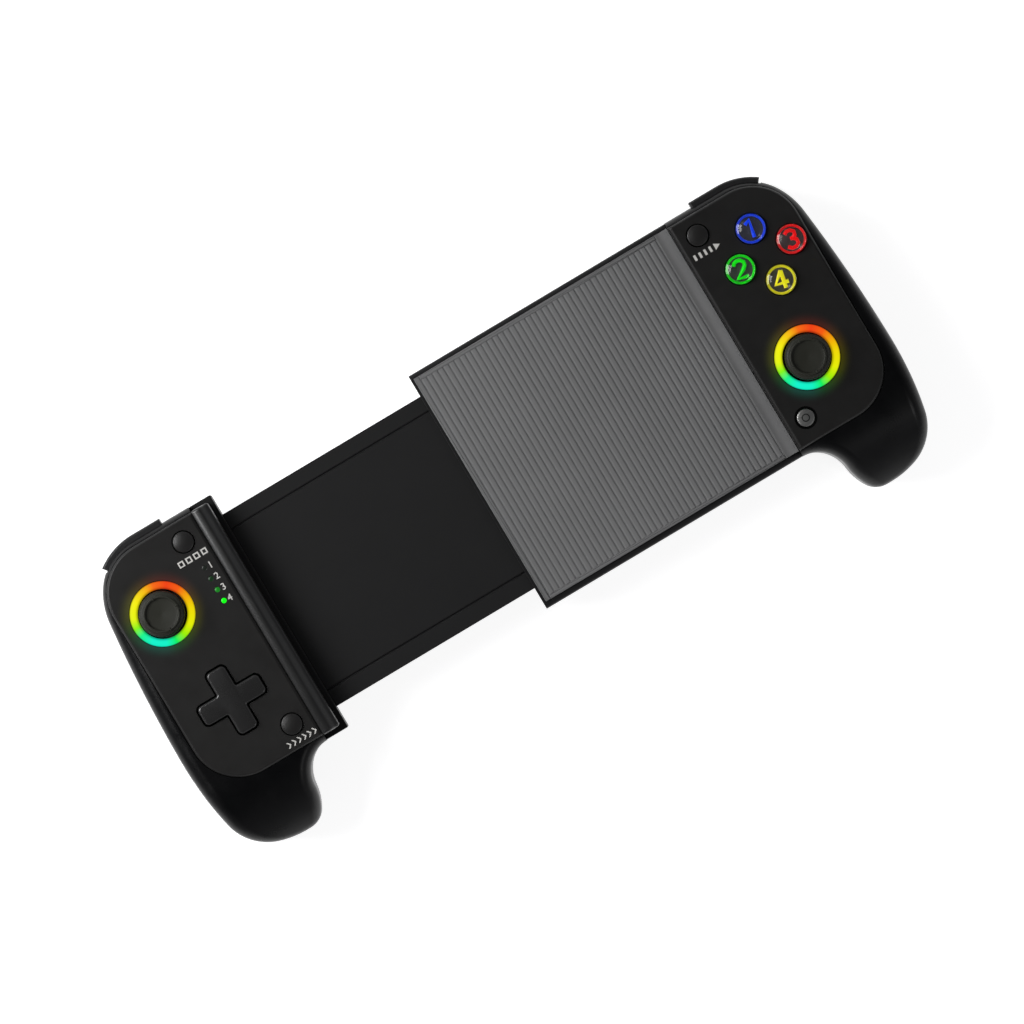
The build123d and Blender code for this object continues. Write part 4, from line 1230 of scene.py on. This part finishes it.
class CONTROLLER_OT_stage(bpy.types.Operator):
    """Makes the floor, the lamps, the world and the camera"""
    bl_idname = "controller.stage"
    bl_label = "Stage"

    def execute(self, context):
        scene = context.scene
        scene.view_settings.view_transform = "Standard"
        self.floor()
        self.world(scene)
        self.lamps(scene)
        self.camera(scene)
        return {"FINISHED"}

    def floor(self):
        """A plain floor that shows white to the camera and keeps the shadow."""
        half = 6.0
        mesh = bpy.data.meshes.new("floor")
        corners = [(-half, -half, 0), (half, -half, 0), (half, half, 0), (-half, half, 0)]
        mesh.from_pydata(corners, [], [(0, 1, 2, 3)])
        material, tree, shader = new_material("floor_white")
        tree.fill(shader, {
            "Base Color": (*grey(0.56), 1), "Roughness": 0.8, "Specular IOR Level": 0.1})
        rays = tree.add("ShaderNodeLightPath").outputs
        mirrored = tree.math("MAXIMUM", rays["Is Glossy Ray"], rays["Is Transmission Ray"])
        seen = tree.math("MAXIMUM", rays["Is Camera Ray"], mirrored)
        glow = tree.add("ShaderNodeEmission", {
            "Color": (1, 1, 1, 1), "Strength": tree.math("MULTIPLY", seen, 0.86)})
        both = tree.add("ShaderNodeAddShader", {0: shader.outputs["BSDF"], 1: glow.outputs["Emission"]})
        output = next(node for node in tree.nodes if node.type == "OUTPUT_MATERIAL")
        tree.fill(output, {"Surface": both.outputs["Shader"]})
        make_object("floor", mesh, material)

    def world(self, scene):
        """Soft surroundings, pale at the horizon and dim overhead."""
        world = bpy.data.worlds.new("studio")
        world.use_nodes = True
        tree = Tree(world.node_tree)
        direction = tree.add("ShaderNodeTexCoord").outputs["Generated"]
        height = tree.add("ShaderNodeSeparateXYZ", {"Vector": direction}).outputs["Z"]
        shade = tree.ramp(height, [
            (0.0, (0.50, 0.50, 0.51)), (0.35, (0.36, 0.36, 0.37)), (0.75, (0.12, 0.12, 0.125)),
            (1.0, (0.06, 0.06, 0.063))])
        tree.fill(tree.nodes["Background"], {"Color": shade, "Strength": 1.0})
        scene.world = world

    def lamps(self, scene):
        """A large soft key lamp above left, and a weaker fill."""
        lamps = (
            ("key_lamp", (-0.50, 0.40, 0.60), 0.5, 6.5),
            ("fill_lamp", (0.45, -0.85, 1.00), 0.3, 1.0),
        )
        for name, place, size, power in lamps:
            data = bpy.data.lights.new(name, "AREA")
            data.size = size
            data.energy = power
            lamp = bpy.data.objects.new(name, data)
            scene.collection.objects.link(lamp)
            lamp.location = place
            lamp.rotation_euler = (-Vector(place)).to_track_quat("-Z", "Y").to_euler()

    def camera(self, scene):
        """A long lens straight above, turned as in the photograph."""
        data = bpy.data.cameras.new("camera")
        data.sensor_width = 36.0
        data.lens = data.sensor_width * (CAMERA_HEIGHT - FOCUS_HEIGHT) / WIDTH_SEEN
        data.clip_end = 50.0
        camera = bpy.data.objects.new("camera", data)
        scene.collection.objects.link(camera)
        turn = math.radians(VIEW_TURN)
        camera.location = (*turned(AIM_ACROSS, -AIM_DOWN, -turn, (0, 0)), CAMERA_HEIGHT)
        camera.rotation_euler = (0, 0, -turn)
        scene.camera = camera


class CONTROLLER_PT_panel(bpy.types.Panel):
    """Lists the steps that dress the controller"""
    bl_label = "Controller"
    bl_idname = "CONTROLLER_PT_panel"
    bl_space_type = "VIEW_3D"
    bl_region_type = "UI"
    bl_category = "Controller"

    def draw(self, context):
        layout = self.layout
        for name in ControllerSizes.__annotations__:
            layout.prop(context.scene.controller_sizes, name)
        for name in ControllerColours.__annotations__:
            layout.prop(context.scene.controller_colours, name)
        for operator in OPERATORS:
            layout.operator(operator.bl_idname)


OPERATORS = (
    CONTROLLER_OT_finishes,
    CONTROLLER_OT_shells,
    CONTROLLER_OT_bridge,
    CONTROLLER_OT_ribbed_pad,
    CONTROLLER_OT_light_rings,
    CONTROLLER_OT_thumb_sticks,
    CONTROLLER_OT_face_keys,
    CONTROLLER_OT_small_keys,
    CONTROLLER_OT_key_marks,
    CONTROLLER_OT_direction_pad,
    CONTROLLER_OT_indicator_lights,
    CONTROLLER_OT_inner_parts,
    CONTROLLER_OT_stage,
)
CLASSES = (ControllerSizes, ControllerColours) + OPERATORS + (CONTROLLER_PT_panel,)


def register():
    for item in CLASSES:
        bpy.utils.register_class(item)
    bpy.types.Scene.controller_sizes = bpy.props.PointerProperty(type=ControllerSizes)
    bpy.types.Scene.controller_colours = bpy.props.PointerProperty(type=ControllerColours)


def unregister():
    del bpy.types.Scene.controller_colours
    del bpy.types.Scene.controller_sizes
    for item in reversed(CLASSES):
        bpy.utils.unregister_class(item)


def main():
    """Dresses the controller and sets the stage."""
    register()
    for operator in OPERATORS:
        group, name = operator.bl_idname.split(".")
        getattr(getattr(bpy.ops, group), name)()


if __name__ == "__main__":
    main()
